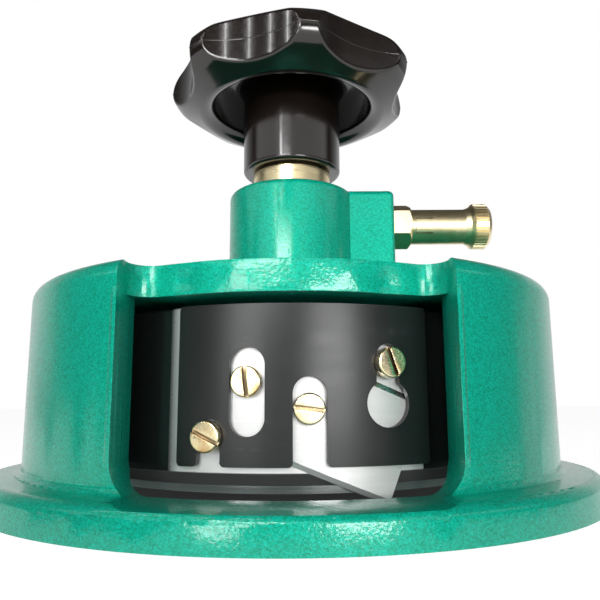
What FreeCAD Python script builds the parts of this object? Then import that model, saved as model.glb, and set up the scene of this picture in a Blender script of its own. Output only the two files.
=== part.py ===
import FreeCAD, Part
import math
import os
import Sketcher

# Round fabric sample cutter, in millimetres.
# The origin is the centre of the base flange's lower face. +Z is up, the blade window faces -Y
# and the catch stands on the +X side.

Vector = FreeCAD.Vector
Rotation = FreeCAD.Rotation
Placement = FreeCAD.Placement

X_AXIS = Vector(1, 0, 0)
Y_AXIS = Vector(0, 1, 0)
Z_AXIS = Vector(0, 0, 1)
TINY = 1e-6
NEAR = 1e-3
QUARTER_TURN = 90.0
FULL_TURN = 360.0
ARCS_PER_TURN = 4
COIL_MARGIN = 0.02

SIZES = {
    # Blade circle and housing casting
    "seat_radius": 56.2,
    "drum_side_gap": 5.0,
    "wall_thickness": 11.8,
    "flange_width": 10.4,
    "flange_thickness": 7.1,
    "flange_round": 2.6,
    "wall_foot_round": 1.6,
    "ceiling_height": 47.4,
    "roof_thickness": 7.0,
    "shoulder_round": 4.2,
    "lintel_lap": 0.2,
    "boss_radius": 19.3,
    "boss_rise": 33.6,
    "boss_round": 1.8,
    "boss_foot_round": 3.0,
    "ear_show": 11.7,
    "ear_width": 16.0,
    "ear_round": 1.2,
    "window_width": 68.8,
    "window_corner_round": 7.0,
    "sill_drop": 0.8,
    "mouth_height": 10.7,
    "mouth_flare": 13.5,
    "lintel_corner_round": 4.5,
    # Press travel and running fits
    "press_travel": 5.5,
    "running_clearance": 0.04,
    "collar_clearance": 0.05,
    "pin_clearance": 0.05,
    "face_clearance": 0.1,
    "thrust_clearance": 0.2,
    # Spindle, bush, spring and collar
    "spindle_radius": 8.0,
    "spindle_foot_radius": 6.5,
    "spindle_shoulder_drop": 5.4,
    "spindle_top_cover": 2.0,
    "spindle_chamfer": 0.8,
    "bush_radius": 11.0,
    "bush_flange_radius": 15.0,
    "bush_height": 5.6,
    "washer_height": 1.0,
    "washer_side_gap": 0.25,
    "spring_wire": 1.6,
    "spring_mean_radius": 10.0,
    "spring_length": 15.0,
    "spring_turns": 4.5,
    "collar_radius": 12.0,
    "collar_show": 7.5,
    "collar_chamfer": 0.6,
    "collar_slot_depth": 2.8,
    "pin_tip_gap": 0.3,
    # Blade drum and its fastening
    "drum_top_gap": 2.0,
    "drum_bottom": 5.8,
    "drum_step": 1.7,
    "drum_step_rise": 1.6,
    "drum_bevel_rise": 2.6,
    "drum_edge_chamfer": 0.5,
    "drum_pocket_radius": 8.2,
    "drum_pocket_depth": 8.4,
    "key_width": 4.0,
    "key_depth": 2.3,
    "key_proud": 1.8,
    "key_length": 16.0,
    "key_inset": 4.8,
    "bolt_radius": 3.0,
    "bolt_length": 16.0,
    "bolt_head_radius": 5.0,
    "bolt_head_height": 5.6,
    "bolt_socket_width": 5.0,
    "bolt_socket_depth": 3.0,
    "drum_washer_radius": 7.9,
    "drum_washer_height": 1.6,
    # Blades, in the window's own flat view: across, and height above the base
    "stations": 4,
    "blade_thickness": 0.4,
    "blade_length": 46.6,
    "blade_width": 22.9,
    "blade_tilt": 22.2,
    "blade_middle_across": 3.9,
    "blade_middle_height": 22.61,
    "blade_side_gap": 0.3,
    "blade_bevel_width": 1.1,
    "blade_bevel_depth": 0.3,
    "blade_hole_radius": 2.1,
    "blade_spare_hole_across": 17.9,
    "blade_spare_hole_height": 17.55,
    # Clamp plates, unrolled along their outer face
    "plate_gap": 0.05,
    "plate_thickness": 1.45,
    "plate_left": 24.3,
    "plate_right": 32.3,
    "plate_bottom": 11.4,
    "plate_top_drop": 0.1,
    "plate_corner_round": 1.0,
    "notch_across": -16.85,
    "notch_width": 5.3,
    "notch_top": 21.2,
    "long_slot_across": -8.525,
    "long_slot_width": 7.55,
    "long_slot_bottom": 17.55,
    "long_slot_top": 36.1,
    "open_slot_across": 4.7,
    "open_slot_width": 7.2,
    "open_slot_top": 29.9,
    "keyhole_across": 22.0,
    "keyhole_height": 24.2,
    "keyhole_radius": 5.05,
    "keyhole_neck_width": 5.6,
    "keyhole_neck_top": 36.9,
    # Screws, set down from the top of the slot that each one sits in
    "screw_shank_radius": 2.0,
    "screw_grip": 8.5,
    "screw_head_radius": 3.3,
    "screw_head_height": 2.2,
    "screw_head_round": 0.45,
    "screw_slot_width": 0.9,
    "screw_slot_depth": 1.0,
    "tapped_hole_depth": 9.5,
    "notch_screw_drop": 3.6,
    "notch_screw_turn": -25.0,
    "neck_screw_drop": 4.1,
    "neck_screw_turn": -70.0,
    "long_slot_screw_shift": -0.25,
    "long_slot_screw_drop": 7.25,
    "long_slot_screw_turn": -83.0,
    "open_slot_screw_shift": -0.15,
    "open_slot_screw_drop": 6.7,
    "open_slot_screw_turn": -8.0,
    # Handwheel
    "wheel_radius": 38.8,
    "wheel_rise": 28.5,
    "wheel_nose_radius": 6.5,
    "wheel_slope": 24.0,
    "wheel_scallops": 7,
    "scallop_radius": 31.5,
    "scallop_depth": 6.2,
    "scallop_turn": -17.7,
    "scallop_edge_round": 1.2,
    "wheel_recess_radius": 24.5,
    "wheel_recess_rise": 1.0,
    "wheel_recess_round": 3.5,
    "hub_radius": 15.2,
    "hub_round": 1.0,
    "hub_foot_round": 3.0,
    "insert_radius": 11.0,
    "insert_height": 27.0,
    "set_screw_radius": 3.0,
    "set_screw_rise": 11.5,
    "set_screw_sink": 1.0,
    "set_screw_socket_width": 3.0,
    "set_screw_socket_depth": 2.5,
    # Catch, along its own axis out from the ear
    "catch_drop": 9.6,
    "catch_pin_radius": 2.4,
    "catch_pin_tip_chamfer": 0.5,
    "shank_length": 14.0,
    "shank_radius": 4.5,
    "hex_length": 5.7,
    "hex_width": 12.2,
    "hex_chamfer": 1.0,
    "barrel_radius": 5.4,
    "barrel_show": 6.3,
    "slot_depth": 5.1,
    "tongue_width": 4.2,
    "tongue_side_gap": 0.3,
    "tongue_turn": 10.0,
    "spring_bore_radius": 3.2,
    "spring_bore_show": 5.0,
    "abutment_inset": 7.0,
    "abutment_width": 1.5,
    "abutment_radius": 3.05,
    "rod_radius": 1.5,
    "catch_wire": 0.6,
    "catch_spring_radius": 2.5,
    "catch_spring_turns": 5.5,
    "knob_barrel_length": 10.3,
    "knob_cone_length": 1.5,
    "knob_head_length": 6.0,
    "knob_head_radius": 7.0,
    "knob_head_chamfer": 1.1,
    "knurl_count": 40,
    "knurl_depth": 0.3,
    "rod_end_cover": 3.0,
    "roll_pin_radius": 0.8,
    "roll_pin_inset": 5.5,
    "roll_pin_turn": 20.0,
}

doc = FreeCAD.newDocument("sample_cutter")
sheet = doc.addObject("Spreadsheet::Sheet", "Sizes")


class Size:
    """A size that carries its number and the sheet formula that it comes from."""

    def __init__(self, value, formula):
        self.value = float(value)
        self.formula = formula

    def __add__(self, other):
        other = as_size(other)
        return Size(self.value + other.value, f"({self.formula} + {other.formula})")

    def __sub__(self, other):
        other = as_size(other)
        return Size(self.value - other.value, f"({self.formula} - {other.formula})")

    def __mul__(self, other):
        other = as_size(other)
        return Size(self.value * other.value, f"({self.formula} * {other.formula})")

    def __truediv__(self, other):
        other = as_size(other)
        return Size(self.value / other.value, f"({self.formula} / {other.formula})")

    def __neg__(self):
        return Size(-self.value, f"(-1 * {self.formula})")

    def __float__(self):
        return self.value


class SizeTable:
    """The sheet's cells by name, such as wall_radius."""


def as_size(number):
    if isinstance(number, Size):
        return number
    return Size(number, repr(number))


def root_of(size):
    return Size(math.sqrt(size.value), f"sqrt({size.formula})")


def fill_sheet():
    table = SizeTable()
    for row, (name, value) in enumerate(SIZES.items(), start=1):
        sheet.set(f"A{row}", name)
        sheet.set(f"B{row}", str(value))
        sheet.setAlias(f"B{row}", name)
        setattr(table, name, Size(value, f"Sizes.{name}"))
    doc.recompute()
    return table


sizes = fill_sheet()


# Sketch and feature helpers

def new_body(label):
    body = doc.addObject("PartDesign::Body", label)
    body.Label = label
    return body


def origin_feature(body, role):
    return next(item for item in body.Origin.OriginFeatures if item.Role == role)


def new_sketch(body, role, name, lift=0.0, turn=0.0):
    """A sketch on an origin plane, lifted along its normal and turned about its upright axis."""
    sketch = body.newObject("Sketcher::SketchObject", name)
    sketch.AttachmentSupport = [(origin_feature(body, role), "")]
    sketch.MapMode = "FlatFace"
    turning = Rotation(Y_AXIS, float(turn))
    sketch.AttachmentOffset = Placement(turning.multVec(Vector(0, 0, float(lift))), turning)
    if isinstance(lift, Size) and not float(turn):
        sketch.setExpression("AttachmentOffset.Base.z", lift.formula)
    return sketch


def pin_point(sketch, geometry, end, across, up):
    """Hold one end of a sketch line or a centre at its place from the sketch's origin."""
    for kind, place, axis in (("DistanceX", as_size(across), -2), ("DistanceY", as_size(up), -1)):
        if abs(place.value) < TINY:
            sketch.addConstraint(Sketcher.Constraint("PointOnObject", geometry, end, axis))
        elif place.value > 0:
            row = sketch.addConstraint(Sketcher.Constraint(kind, -1, 1, geometry, end, place.value))
            sketch.setExpression(f"Constraints[{row}]", place.formula)
        else:
            row = sketch.addConstraint(Sketcher.Constraint(kind, geometry, end, -1, 1, -place.value))
            sketch.setExpression(f"Constraints[{row}]", (-place).formula)


def arc_geometry(start, end, centre, clockwise):
    """A round sketch arc and which of its own ends lie at the path's start and end."""
    first, last = (end, start) if clockwise else (start, end)
    angles = [math.atan2(point.y - centre.y, point.x - centre.x) for point in (first, last)]
    if angles[1] < angles[0]:
        angles[1] += 2 * math.pi
    circle = Part.Circle(centre, Z_AXIS, (start - centre).Length)
    ends = (2, 1) if clockwise else (1, 2)
    return Part.ArcOfCircle(circle, *angles), ends


def draw_outline(sketch, corners, arcs=None):
    """A closed outline. arcs gives, by corner, the round that leaves it: centre, radius, clockwise."""
    arcs = arcs or {}
    count = len(corners)
    points = [Vector(float(across), float(up), 0) for across, up in corners]
    runs = []
    for index, start in enumerate(points):
        end = points[(index + 1) % count]
        line, ends = Part.LineSegment(start, end), (1, 2)
        if index in arcs:
            (across, up), _, clockwise = arcs[index]
            line, ends = arc_geometry(start, end, Vector(float(across), float(up), 0), clockwise)
        runs.append((sketch.addGeometry(line, False), *ends))
    for index, (run, _, tail) in enumerate(runs):
        following, head, _ = runs[(index + 1) % count]
        sketch.addConstraint(Sketcher.Constraint("Coincident", run, tail, following, head))
    for index, (across, up) in enumerate(corners):
        run, head, _ = runs[index]
        pin_point(sketch, run, head, across, up)
    for index, (_, radius, _) in arcs.items():
        row = sketch.addConstraint(Sketcher.Constraint("Radius", runs[index][0], float(radius)))
        sketch.setExpression(f"Constraints[{row}]", as_size(radius).formula)


def draw_circle(sketch, across, up, radius):
    centre = Vector(float(across), float(up), 0)
    circle = sketch.addGeometry(Part.Circle(centre, Z_AXIS, float(radius)), False)
    pin_point(sketch, circle, 3, across, up)
    row = sketch.addConstraint(Sketcher.Constraint("Radius", circle, float(radius)))
    sketch.setExpression(f"Constraints[{row}]", as_size(radius).formula)


def box_corners(left, low, right, high):
    return [(left, low), (right, low), (right, high), (left, high)]


def settle(feature):
    """Recompute, and stop where the feature has failed."""
    doc.recompute()
    if "Invalid" in feature.State or "Error" in feature.State or feature.Shape.isNull():
        raise RuntimeError(f"{feature.Name} has failed")
    return feature


def revolve(body, sketch, axis="V_Axis", cut=False):
    kind = "Groove" if cut else "Revolution"
    feature = body.newObject(f"PartDesign::{kind}", f"{sketch.Name}_{kind}")
    feature.Profile = sketch
    feature.ReferenceAxis = (sketch, [axis])
    feature.Angle = FULL_TURN
    return settle(feature)


def pad(body, sketch, length, backwards=False):
    feature = body.newObject("PartDesign::Pad", f"{sketch.Name}_Pad")
    feature.Profile = sketch
    feature.Length = float(length)
    feature.setExpression("Length", as_size(length).formula)
    feature.Reversed = backwards
    return settle(feature)


def pocket(body, sketch, length, along_normal=False):
    """Cut a sketch out of the body, and stop if the cut takes nothing away."""
    before = body.Shape.Volume
    feature = body.newObject("PartDesign::Pocket", f"{sketch.Name}_Pocket")
    feature.Profile = sketch
    feature.Length = float(length)
    feature.setExpression("Length", as_size(length).formula)
    feature.Reversed = along_normal
    settle(feature)
    if not body.Shape.Volume < before - TINY:
        raise RuntimeError(f"{sketch.Name} cuts nothing from {body.Label}")
    return feature


def polar(body, features, axis, count):
    pattern = body.newObject("PartDesign::PolarPattern", f"{features[0].Name}_Ring")
    pattern.Originals = features
    pattern.Axis = (origin_feature(body, axis), [""])
    pattern.Angle = FULL_TURN
    pattern.Occurrences = int(float(count))
    pattern.setExpression("Occurrences", count.formula)
    body.Tip = pattern
    return settle(pattern)


def edge_names(shape, wanted):
    return [f"Edge{number}" for number, edge in enumerate(shape.Edges, start=1) if wanted(edge)]


def round_edges(body, base, wanted, radius, name, kind="Fillet"):
    names = edge_names(base.Shape, wanted)
    if not names:
        raise RuntimeError(f"{name} finds no edge on {body.Label}")
    feature = body.newObject(f"PartDesign::{kind}", name)
    feature.Base = (base, names)
    size_name = "Radius" if kind == "Fillet" else "Size"
    setattr(feature, size_name, float(radius))
    feature.setExpression(size_name, radius.formula)
    return settle(feature)


def same(first, second, margin=NEAR):
    return abs(float(first) - float(second)) < margin


def middle(edge):
    return edge.valueAt((edge.FirstParameter + edge.LastParameter) / 2)


def is_ring(edge, radius, height):
    """A round edge about the upright axis, at that radius and height."""
    points = [edge.valueAt(edge.FirstParameter), middle(edge), edge.valueAt(edge.LastParameter)]
    return all(same(point.z, height) and same(math.hypot(point.x, point.y), radius) for point in points)


def is_upright(edge):
    low, high = edge.BoundBox.ZMin, edge.BoundBox.ZMax
    return same(edge.Length, high - low) and edge.Length > NEAR


def primitive(kind, name, place, **lengths):
    item = doc.addObject(f"Part::{kind}", name)
    for key, length in lengths.items():
        setattr(item, key, float(length))
        item.setExpression(key, as_size(length).formula)
    item.Placement = place
    return item


def boolean(kind, name, base, tool):
    item = doc.addObject(f"Part::{kind}", name)
    item.Base = base
    item.Tool = tool
    return settle(item)


def join(name, pieces):
    item = doc.addObject("Part::MultiFuse", name)
    item.Shapes = pieces
    return settle(item)


def turned(angle):
    """A turn about the upright axis: 0 faces the window, and it grows towards +X."""
    return Placement(Vector(0, 0, 0), Rotation(Z_AXIS, float(angle)))


def arc_angle(across, radius):
    return math.degrees(float(across) / float(radius))


def placed_copy(label, shape, place):
    item = doc.addObject("Part::Feature", label)
    item.Label = label
    item.Shape = shape
    item.Placement = place
    return item


# Sizes that follow from the blade circle, outwards

cavity_radius = sizes.seat_radius + sizes.drum_side_gap
lintel_radius = cavity_radius - sizes.lintel_lap
wall_radius = cavity_radius + sizes.wall_thickness
flange_radius = wall_radius + sizes.flange_width
drum_step_radius = sizes.seat_radius - sizes.drum_step
blade_outer = sizes.seat_radius + sizes.blade_thickness
plate_inner = blade_outer + sizes.plate_gap
plate_outer = plate_inner + sizes.plate_thickness
bore_radius = sizes.spindle_radius + sizes.running_clearance

# Levels that follow from the ceiling, upwards and down to the drum

drum_height = sizes.ceiling_height - sizes.drum_top_gap
drum_shoulder = drum_height - sizes.spindle_shoulder_drop
drum_step_height = sizes.drum_bottom + sizes.drum_step_rise
drum_rim_height = drum_step_height + sizes.drum_bevel_rise
pocket_ceiling = sizes.drum_bottom + sizes.drum_pocket_depth
key_start = pocket_ceiling + sizes.key_inset
plate_top = drum_height - sizes.plate_top_drop
bush_bottom = drum_height + sizes.thrust_clearance
bush_top = sizes.ceiling_height + sizes.bush_height
spring_foot = bush_top + sizes.washer_height
collar_bottom = spring_foot + sizes.spring_length
shoulder_height = sizes.ceiling_height + sizes.roof_thickness
boss_height = shoulder_height + sizes.boss_rise
catch_height = boss_height - sizes.catch_drop
hub_bottom = boss_height + sizes.collar_show
collar_top = hub_bottom - sizes.face_clearance
set_screw_height = hub_bottom + sizes.set_screw_rise
insert_top = hub_bottom + sizes.insert_height
wheel_middle = hub_bottom + sizes.wheel_rise

# Places along the catch, outwards from the spindle's centre line

collar_slot_floor = sizes.collar_radius - sizes.collar_slot_depth
pin_bore_radius = sizes.catch_pin_radius + sizes.pin_clearance
pin_tip = collar_slot_floor + sizes.pin_tip_gap
ear_reach = sizes.boss_radius + sizes.ear_show
shank_start = ear_reach - sizes.shank_length
abutment_start = shank_start + sizes.abutment_inset
abutment_end = abutment_start + sizes.abutment_width
spring_bore_end = ear_reach + sizes.spring_bore_show
hex_end = ear_reach + sizes.hex_length
barrel_split = hex_end + sizes.barrel_show
slot_floor = barrel_split - sizes.slot_depth
roll_pin_place = barrel_split + sizes.roll_pin_inset
knob_cone_start = barrel_split + sizes.knob_barrel_length
knob_head_start = knob_cone_start + sizes.knob_cone_length
knob_end = knob_head_start + sizes.knob_head_length


# Housing: base flange, wall, window, top, boss and side ear in one casting

def draw_window(sketch, half_window):
    """The window below the ceiling, seen from the front: cut a little into the flange, round at its foot."""
    bend = sizes.window_corner_round
    sill = sizes.flange_thickness - sizes.sill_drop
    inset = half_window - bend
    corners = [
        (-half_window, sizes.ceiling_height),
        (-half_window, sill + bend),
        (-inset, sill),
        (inset, sill),
        (half_window, sill + bend),
        (half_window, sizes.ceiling_height),
    ]
    draw_outline(sketch, corners, {
        1: ((-inset, sill + bend), bend, False),
        3: ((inset, sill + bend), bend, False),
    })


def draw_notch(sketch, half_window, far):
    """The notch above the window, seen from above: its back is the round lintel."""
    bend = sizes.lintel_corner_round
    lintel = lintel_radius
    inset = half_window - bend
    reach = lintel + bend
    depth = root_of(reach * reach - inset * inset)
    meeting = (inset * lintel / reach, depth * lintel / reach)
    corners = [
        (-half_window, -far),
        (-half_window, -depth),
        (-meeting[0], -meeting[1]),
        (meeting[0], -meeting[1]),
        (half_window, -depth),
        (half_window, -far),
    ]
    draw_outline(sketch, corners, {
        1: ((-inset, -depth), bend, True),
        2: ((0, 0), lintel, False),
        3: ((inset, -depth), bend, True),
    })


def add_housing():
    body = new_body("housing")
    far = flange_radius * 2
    half_window = sizes.window_width / 2

    profile = new_sketch(body, "XZ_Plane", "housing_profile")
    draw_outline(profile, [
        (0, 0),
        (flange_radius, 0),
        (flange_radius, sizes.flange_thickness),
        (wall_radius, sizes.flange_thickness),
        (wall_radius, shoulder_height),
        (sizes.boss_radius, shoulder_height),
        (sizes.boss_radius, boss_height),
        (0, boss_height),
    ])
    revolve(body, profile)

    ear = new_sketch(body, "XY_Plane", "housing_ear", lift=sizes.ceiling_height)
    half_ear = sizes.ear_width / 2
    draw_outline(ear, box_corners(0, -half_ear, ear_reach, half_ear))
    shape = pad(body, ear, boss_height - sizes.ceiling_height)

    def ear_corner(edge):
        point = middle(edge)
        return is_upright(edge) and same(point.x, ear_reach)

    shape = round_edges(body, shape, ear_corner, sizes.ear_round, "ear_corner_round")

    def top_edge(edge):
        return same(edge.BoundBox.ZMin, boss_height) and same(edge.BoundBox.ZLength, 0)

    shape = round_edges(body, shape, top_edge, sizes.boss_round, "boss_top_round")

    def foot_edge(edge):
        level = same(edge.BoundBox.ZMin, shoulder_height) and same(edge.BoundBox.ZLength, 0)
        return level and not is_ring(edge, wall_radius, shoulder_height)

    shape = round_edges(body, shape, foot_edge, sizes.boss_foot_round, "boss_foot_round")
    shape = round_edges(
        body, shape, lambda edge: is_ring(edge, wall_radius, shoulder_height),
        sizes.shoulder_round, "shoulder_round")
    shape = round_edges(
        body, shape, lambda edge: is_ring(edge, flange_radius, sizes.flange_thickness),
        sizes.flange_round, "flange_round")
    round_edges(
        body, shape, lambda edge: is_ring(edge, wall_radius, sizes.flange_thickness),
        sizes.wall_foot_round, "wall_foot_round")

    cavity = new_sketch(body, "XY_Plane", "housing_cavity")
    draw_circle(cavity, 0, 0, cavity_radius)
    pocket(body, cavity, sizes.ceiling_height, along_normal=True)

    mouth = new_sketch(body, "XZ_Plane", "housing_mouth")
    draw_outline(mouth, [
        (0, 0),
        (cavity_radius + sizes.mouth_flare, 0),
        (cavity_radius, sizes.mouth_height),
        (0, sizes.mouth_height),
    ])
    revolve(body, mouth, cut=True)

    window = new_sketch(body, "XZ_Plane", "housing_window")
    draw_window(window, half_window)
    pocket(body, window, far, along_normal=True)

    notch = new_sketch(body, "XY_Plane", "housing_notch", lift=sizes.ceiling_height)
    draw_notch(notch, half_window, far)
    pocket(body, notch, boss_height - sizes.ceiling_height, along_normal=True)

    bush_bore = new_sketch(body, "XY_Plane", "housing_bush_bore", lift=sizes.ceiling_height)
    draw_circle(bush_bore, 0, 0, sizes.bush_radius)
    pocket(body, bush_bore, sizes.bush_height, along_normal=True)

    collar_bore = new_sketch(body, "XY_Plane", "housing_collar_bore", lift=bush_top)
    draw_circle(collar_bore, 0, 0, sizes.collar_radius + sizes.collar_clearance)
    pocket(body, collar_bore, boss_height - bush_top, along_normal=True)

    pin_bore = new_sketch(body, "YZ_Plane", "housing_pin_bore")
    draw_circle(pin_bore, 0, catch_height, pin_bore_radius)
    pocket(body, pin_bore, ear_reach, along_normal=True)

    shank_bore = new_sketch(body, "YZ_Plane", "housing_shank_bore", lift=shank_start)
    draw_circle(shank_bore, 0, catch_height, sizes.shank_radius)
    pocket(body, shank_bore, ear_reach, along_normal=True)
    return body


# Press parts that stay with the housing

def add_guide_bush():
    body = new_body("guide_bush")
    profile = new_sketch(body, "XZ_Plane", "bush_profile")
    draw_outline(profile, [
        (bore_radius, bush_bottom),
        (sizes.bush_flange_radius, bush_bottom),
        (sizes.bush_flange_radius, sizes.ceiling_height),
        (sizes.bush_radius, sizes.ceiling_height),
        (sizes.bush_radius, bush_top),
        (bore_radius, bush_top),
    ])
    revolve(body, profile)
    return body


def add_spring_washer():
    body = new_body("spring_washer")
    inner = sizes.spindle_radius + sizes.washer_side_gap
    outer = sizes.collar_radius - sizes.washer_side_gap
    profile = new_sketch(body, "XZ_Plane", "washer_profile")
    draw_outline(profile, box_corners(inner, bush_top, outer, spring_foot))
    revolve(body, profile)
    return body


def arc_between(start, corner, end):
    """The round arc that leaves start and reaches end along the two legs of a corner."""
    chord_middle = (start + end) * 0.5
    rise = (corner - chord_middle).Length
    half_chord = (end - start).Length / 2
    swell = half_chord * math.tan(math.atan2(rise, half_chord) / 2)
    top = chord_middle + (corner - chord_middle) * (swell / rise)
    return Part.Arc(start, top, end)


def coil_edges(mean_radius, foot, length, turns):
    """Tangent arcs, two for each quarter turn, that follow a coil up the Z axis from its foot."""
    steps = max(ARCS_PER_TURN, round(turns * ARCS_PER_TURN))
    pitch = length / turns
    turn_length = math.hypot(2 * math.pi * mean_radius, pitch)

    def place(angle):
        climb = foot + pitch * angle / (2 * math.pi)
        return Vector(mean_radius * math.cos(angle), mean_radius * math.sin(angle), climb)

    def heading(angle):
        flat = 2 * math.pi * mean_radius / turn_length
        return Vector(-flat * math.sin(angle), flat * math.cos(angle), pitch / turn_length)

    edges = []
    for step in range(steps):
        first = 2 * math.pi * turns * step / steps
        last = 2 * math.pi * turns * (step + 1) / steps
        start, end = place(first), place(last)
        out, into = heading(first), heading(last)
        span, both = end - start, out + into
        bend = 2 * (1 - out.dot(into))
        reach = (-span.dot(both) + math.sqrt(span.dot(both) ** 2 + bend * span.dot(span))) / bend
        near_corner, far_corner = start + out * reach, end - into * reach
        meeting = (near_corner + far_corner) * 0.5
        edges.append(arc_between(start, near_corner, meeting).toShape())
        edges.append(arc_between(meeting, far_corner, end).toShape())
    return edges


def coil(name, mean_radius, wire, length, turns):
    """One unbroken coil of round wire whose outside reaches from 0 to its length."""
    rise = length - wire
    path = Part.Wire(coil_edges(mean_radius, wire / 2, rise, turns))
    start = path.Vertexes[0].Point
    first_edge = path.OrderedEdges[0]
    heading = first_edge.tangentAt(first_edge.FirstParameter)
    section = Part.Wire(Part.makeCircle(wire / 2, start, heading))
    shape = path.makePipeShell([section], True, False)
    gap = rise / turns - wire
    print(f"{name}: least gap between turns {gap:.2f} mm")
    expected = math.pi * wire ** 2 / 4 * path.Length
    if abs(shape.Volume - expected) > COIL_MARGIN * expected:
        raise RuntimeError(f"{name} has volume {shape.Volume:.2f}, not {expected:.2f}")
    return shape


def add_return_spring():
    shape = coil("return_spring", sizes.spring_mean_radius.value, sizes.spring_wire.value,
                 sizes.spring_length.value, sizes.spring_turns.value)
    return placed_copy("return_spring", shape, Placement(Vector(0, 0, spring_foot.value), Rotation()))


def add_thrust_collar():
    body = new_body("thrust_collar")
    profile = new_sketch(body, "XZ_Plane", "collar_profile")
    draw_outline(profile, box_corners(bore_radius, collar_bottom, sizes.collar_radius, collar_top))
    shape = revolve(body, profile)
    round_edges(body, shape, lambda edge: is_ring(edge, sizes.collar_radius, collar_top),
                sizes.collar_chamfer, "collar_top_chamfer", kind="Chamfer")
    slot = new_sketch(body, "YZ_Plane", "collar_slot", lift=collar_slot_floor)
    slot_side = pin_bore_radius
    slot_low = catch_height - sizes.catch_pin_radius - sizes.pin_tip_gap
    slot_high = catch_height + sizes.catch_pin_radius + sizes.press_travel + sizes.pin_tip_gap
    draw_outline(slot, box_corners(-slot_side, slot_low, slot_side, slot_high))
    pocket(body, slot, sizes.collar_radius, along_normal=True)
    return body


# Rotor: spindle, drum and handwheel

def add_spindle():
    body = new_body("spindle")
    foot = pocket_ceiling + sizes.pin_tip_gap
    top = insert_top - sizes.spindle_top_cover
    profile = new_sketch(body, "XZ_Plane", "spindle_profile")
    draw_outline(profile, [
        (0, foot),
        (sizes.spindle_foot_radius, foot),
        (sizes.spindle_foot_radius, drum_shoulder),
        (sizes.spindle_radius, drum_shoulder),
        (sizes.spindle_radius, top),
        (0, top),
    ])
    shape = revolve(body, profile)
    round_edges(body, shape, lambda edge: is_ring(edge, sizes.spindle_radius, top),
                sizes.spindle_chamfer, "spindle_top_chamfer", kind="Chamfer")
    bolt_hole = new_sketch(body, "XY_Plane", "spindle_bolt_hole", lift=foot)
    draw_circle(bolt_hole, 0, 0, sizes.bolt_radius)
    pocket(body, bolt_hole, sizes.bolt_length + sizes.bolt_radius, along_normal=True)
    keyway = new_sketch(body, "YZ_Plane", "spindle_keyway",
                        lift=sizes.spindle_foot_radius - sizes.key_depth)
    half_key = sizes.key_width / 2
    draw_outline(keyway, box_corners(
        -half_key, key_start, half_key, key_start + sizes.key_length))
    pocket(body, keyway, sizes.spindle_foot_radius, along_normal=True)
    return body


def station_places():
    """Where each station's four screws enter: across the plate, height and slot turn."""
    return {
        "notch": (sizes.notch_across, sizes.notch_top - sizes.notch_screw_drop, sizes.notch_screw_turn),
        "neck": (sizes.keyhole_across, sizes.keyhole_neck_top - sizes.neck_screw_drop,
                 sizes.neck_screw_turn),
        "long_slot": (sizes.long_slot_across + sizes.long_slot_screw_shift,
                      sizes.long_slot_top - sizes.long_slot_screw_drop, sizes.long_slot_screw_turn),
        "open_slot": (sizes.open_slot_across + sizes.open_slot_screw_shift,
                      sizes.open_slot_top - sizes.open_slot_screw_drop, sizes.open_slot_screw_turn),
    }


def add_blade_drum():
    body = new_body("blade_drum")
    profile = new_sketch(body, "XZ_Plane", "drum_profile")
    draw_outline(profile, [
        (sizes.drum_pocket_radius, sizes.drum_bottom),
        (drum_step_radius, sizes.drum_bottom),
        (drum_step_radius, drum_step_height),
        (sizes.seat_radius, drum_rim_height),
        (sizes.seat_radius, drum_height),
        (sizes.spindle_radius, drum_height),
        (sizes.spindle_radius, drum_shoulder),
        (sizes.spindle_foot_radius, drum_shoulder),
        (sizes.spindle_foot_radius, pocket_ceiling),
        (sizes.drum_pocket_radius, pocket_ceiling),
    ])
    shape = revolve(body, profile)
    round_edges(body, shape, lambda edge: is_ring(edge, sizes.seat_radius, drum_height),
                sizes.drum_edge_chamfer, "drum_edge_chamfer", kind="Chamfer")
    keyway = new_sketch(body, "YZ_Plane", "drum_keyway")
    half_key = sizes.key_width / 2
    draw_outline(keyway, box_corners(-half_key, pocket_ceiling, half_key, drum_shoulder))
    pocket(body, keyway, sizes.spindle_foot_radius + sizes.key_proud, along_normal=True)
    holes = []
    for name, (across, height, _) in station_places().items():
        hole = new_sketch(body, "XZ_Plane", f"drum_{name}_hole", turn=arc_angle(across, plate_outer),
                          lift=sizes.seat_radius.value - sizes.tapped_hole_depth.value)
        draw_circle(hole, 0, height, sizes.screw_shank_radius)
        holes.append(pocket(body, hole, sizes.seat_radius, along_normal=True))
    polar(body, holes, "Z_Axis", sizes.stations)
    return body


def add_drum_key():
    inner = sizes.spindle_foot_radius - sizes.key_depth
    corner = Vector(inner.value, -sizes.key_width.value / 2, key_start.value)
    key = primitive("Box", "drum_key", Placement(corner, Rotation()),
                    Length=sizes.key_depth + sizes.key_proud, Width=sizes.key_width,
                    Height=sizes.key_length)
    key.Label = "drum_key"
    return key


def hexagon(sketch, width, up=0):
    """A hexagon with two corners on the sketch's upright axis, by its width across flats."""
    corner = width / math.sqrt(3)
    half_corner = corner / 2
    half_width = width / 2
    draw_outline(sketch, [
        (0, as_size(up) + corner),
        (-half_width, as_size(up) + half_corner),
        (-half_width, as_size(up) - half_corner),
        (0, as_size(up) - corner),
        (half_width, as_size(up) - half_corner),
        (half_width, as_size(up) + half_corner),
    ])


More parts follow.
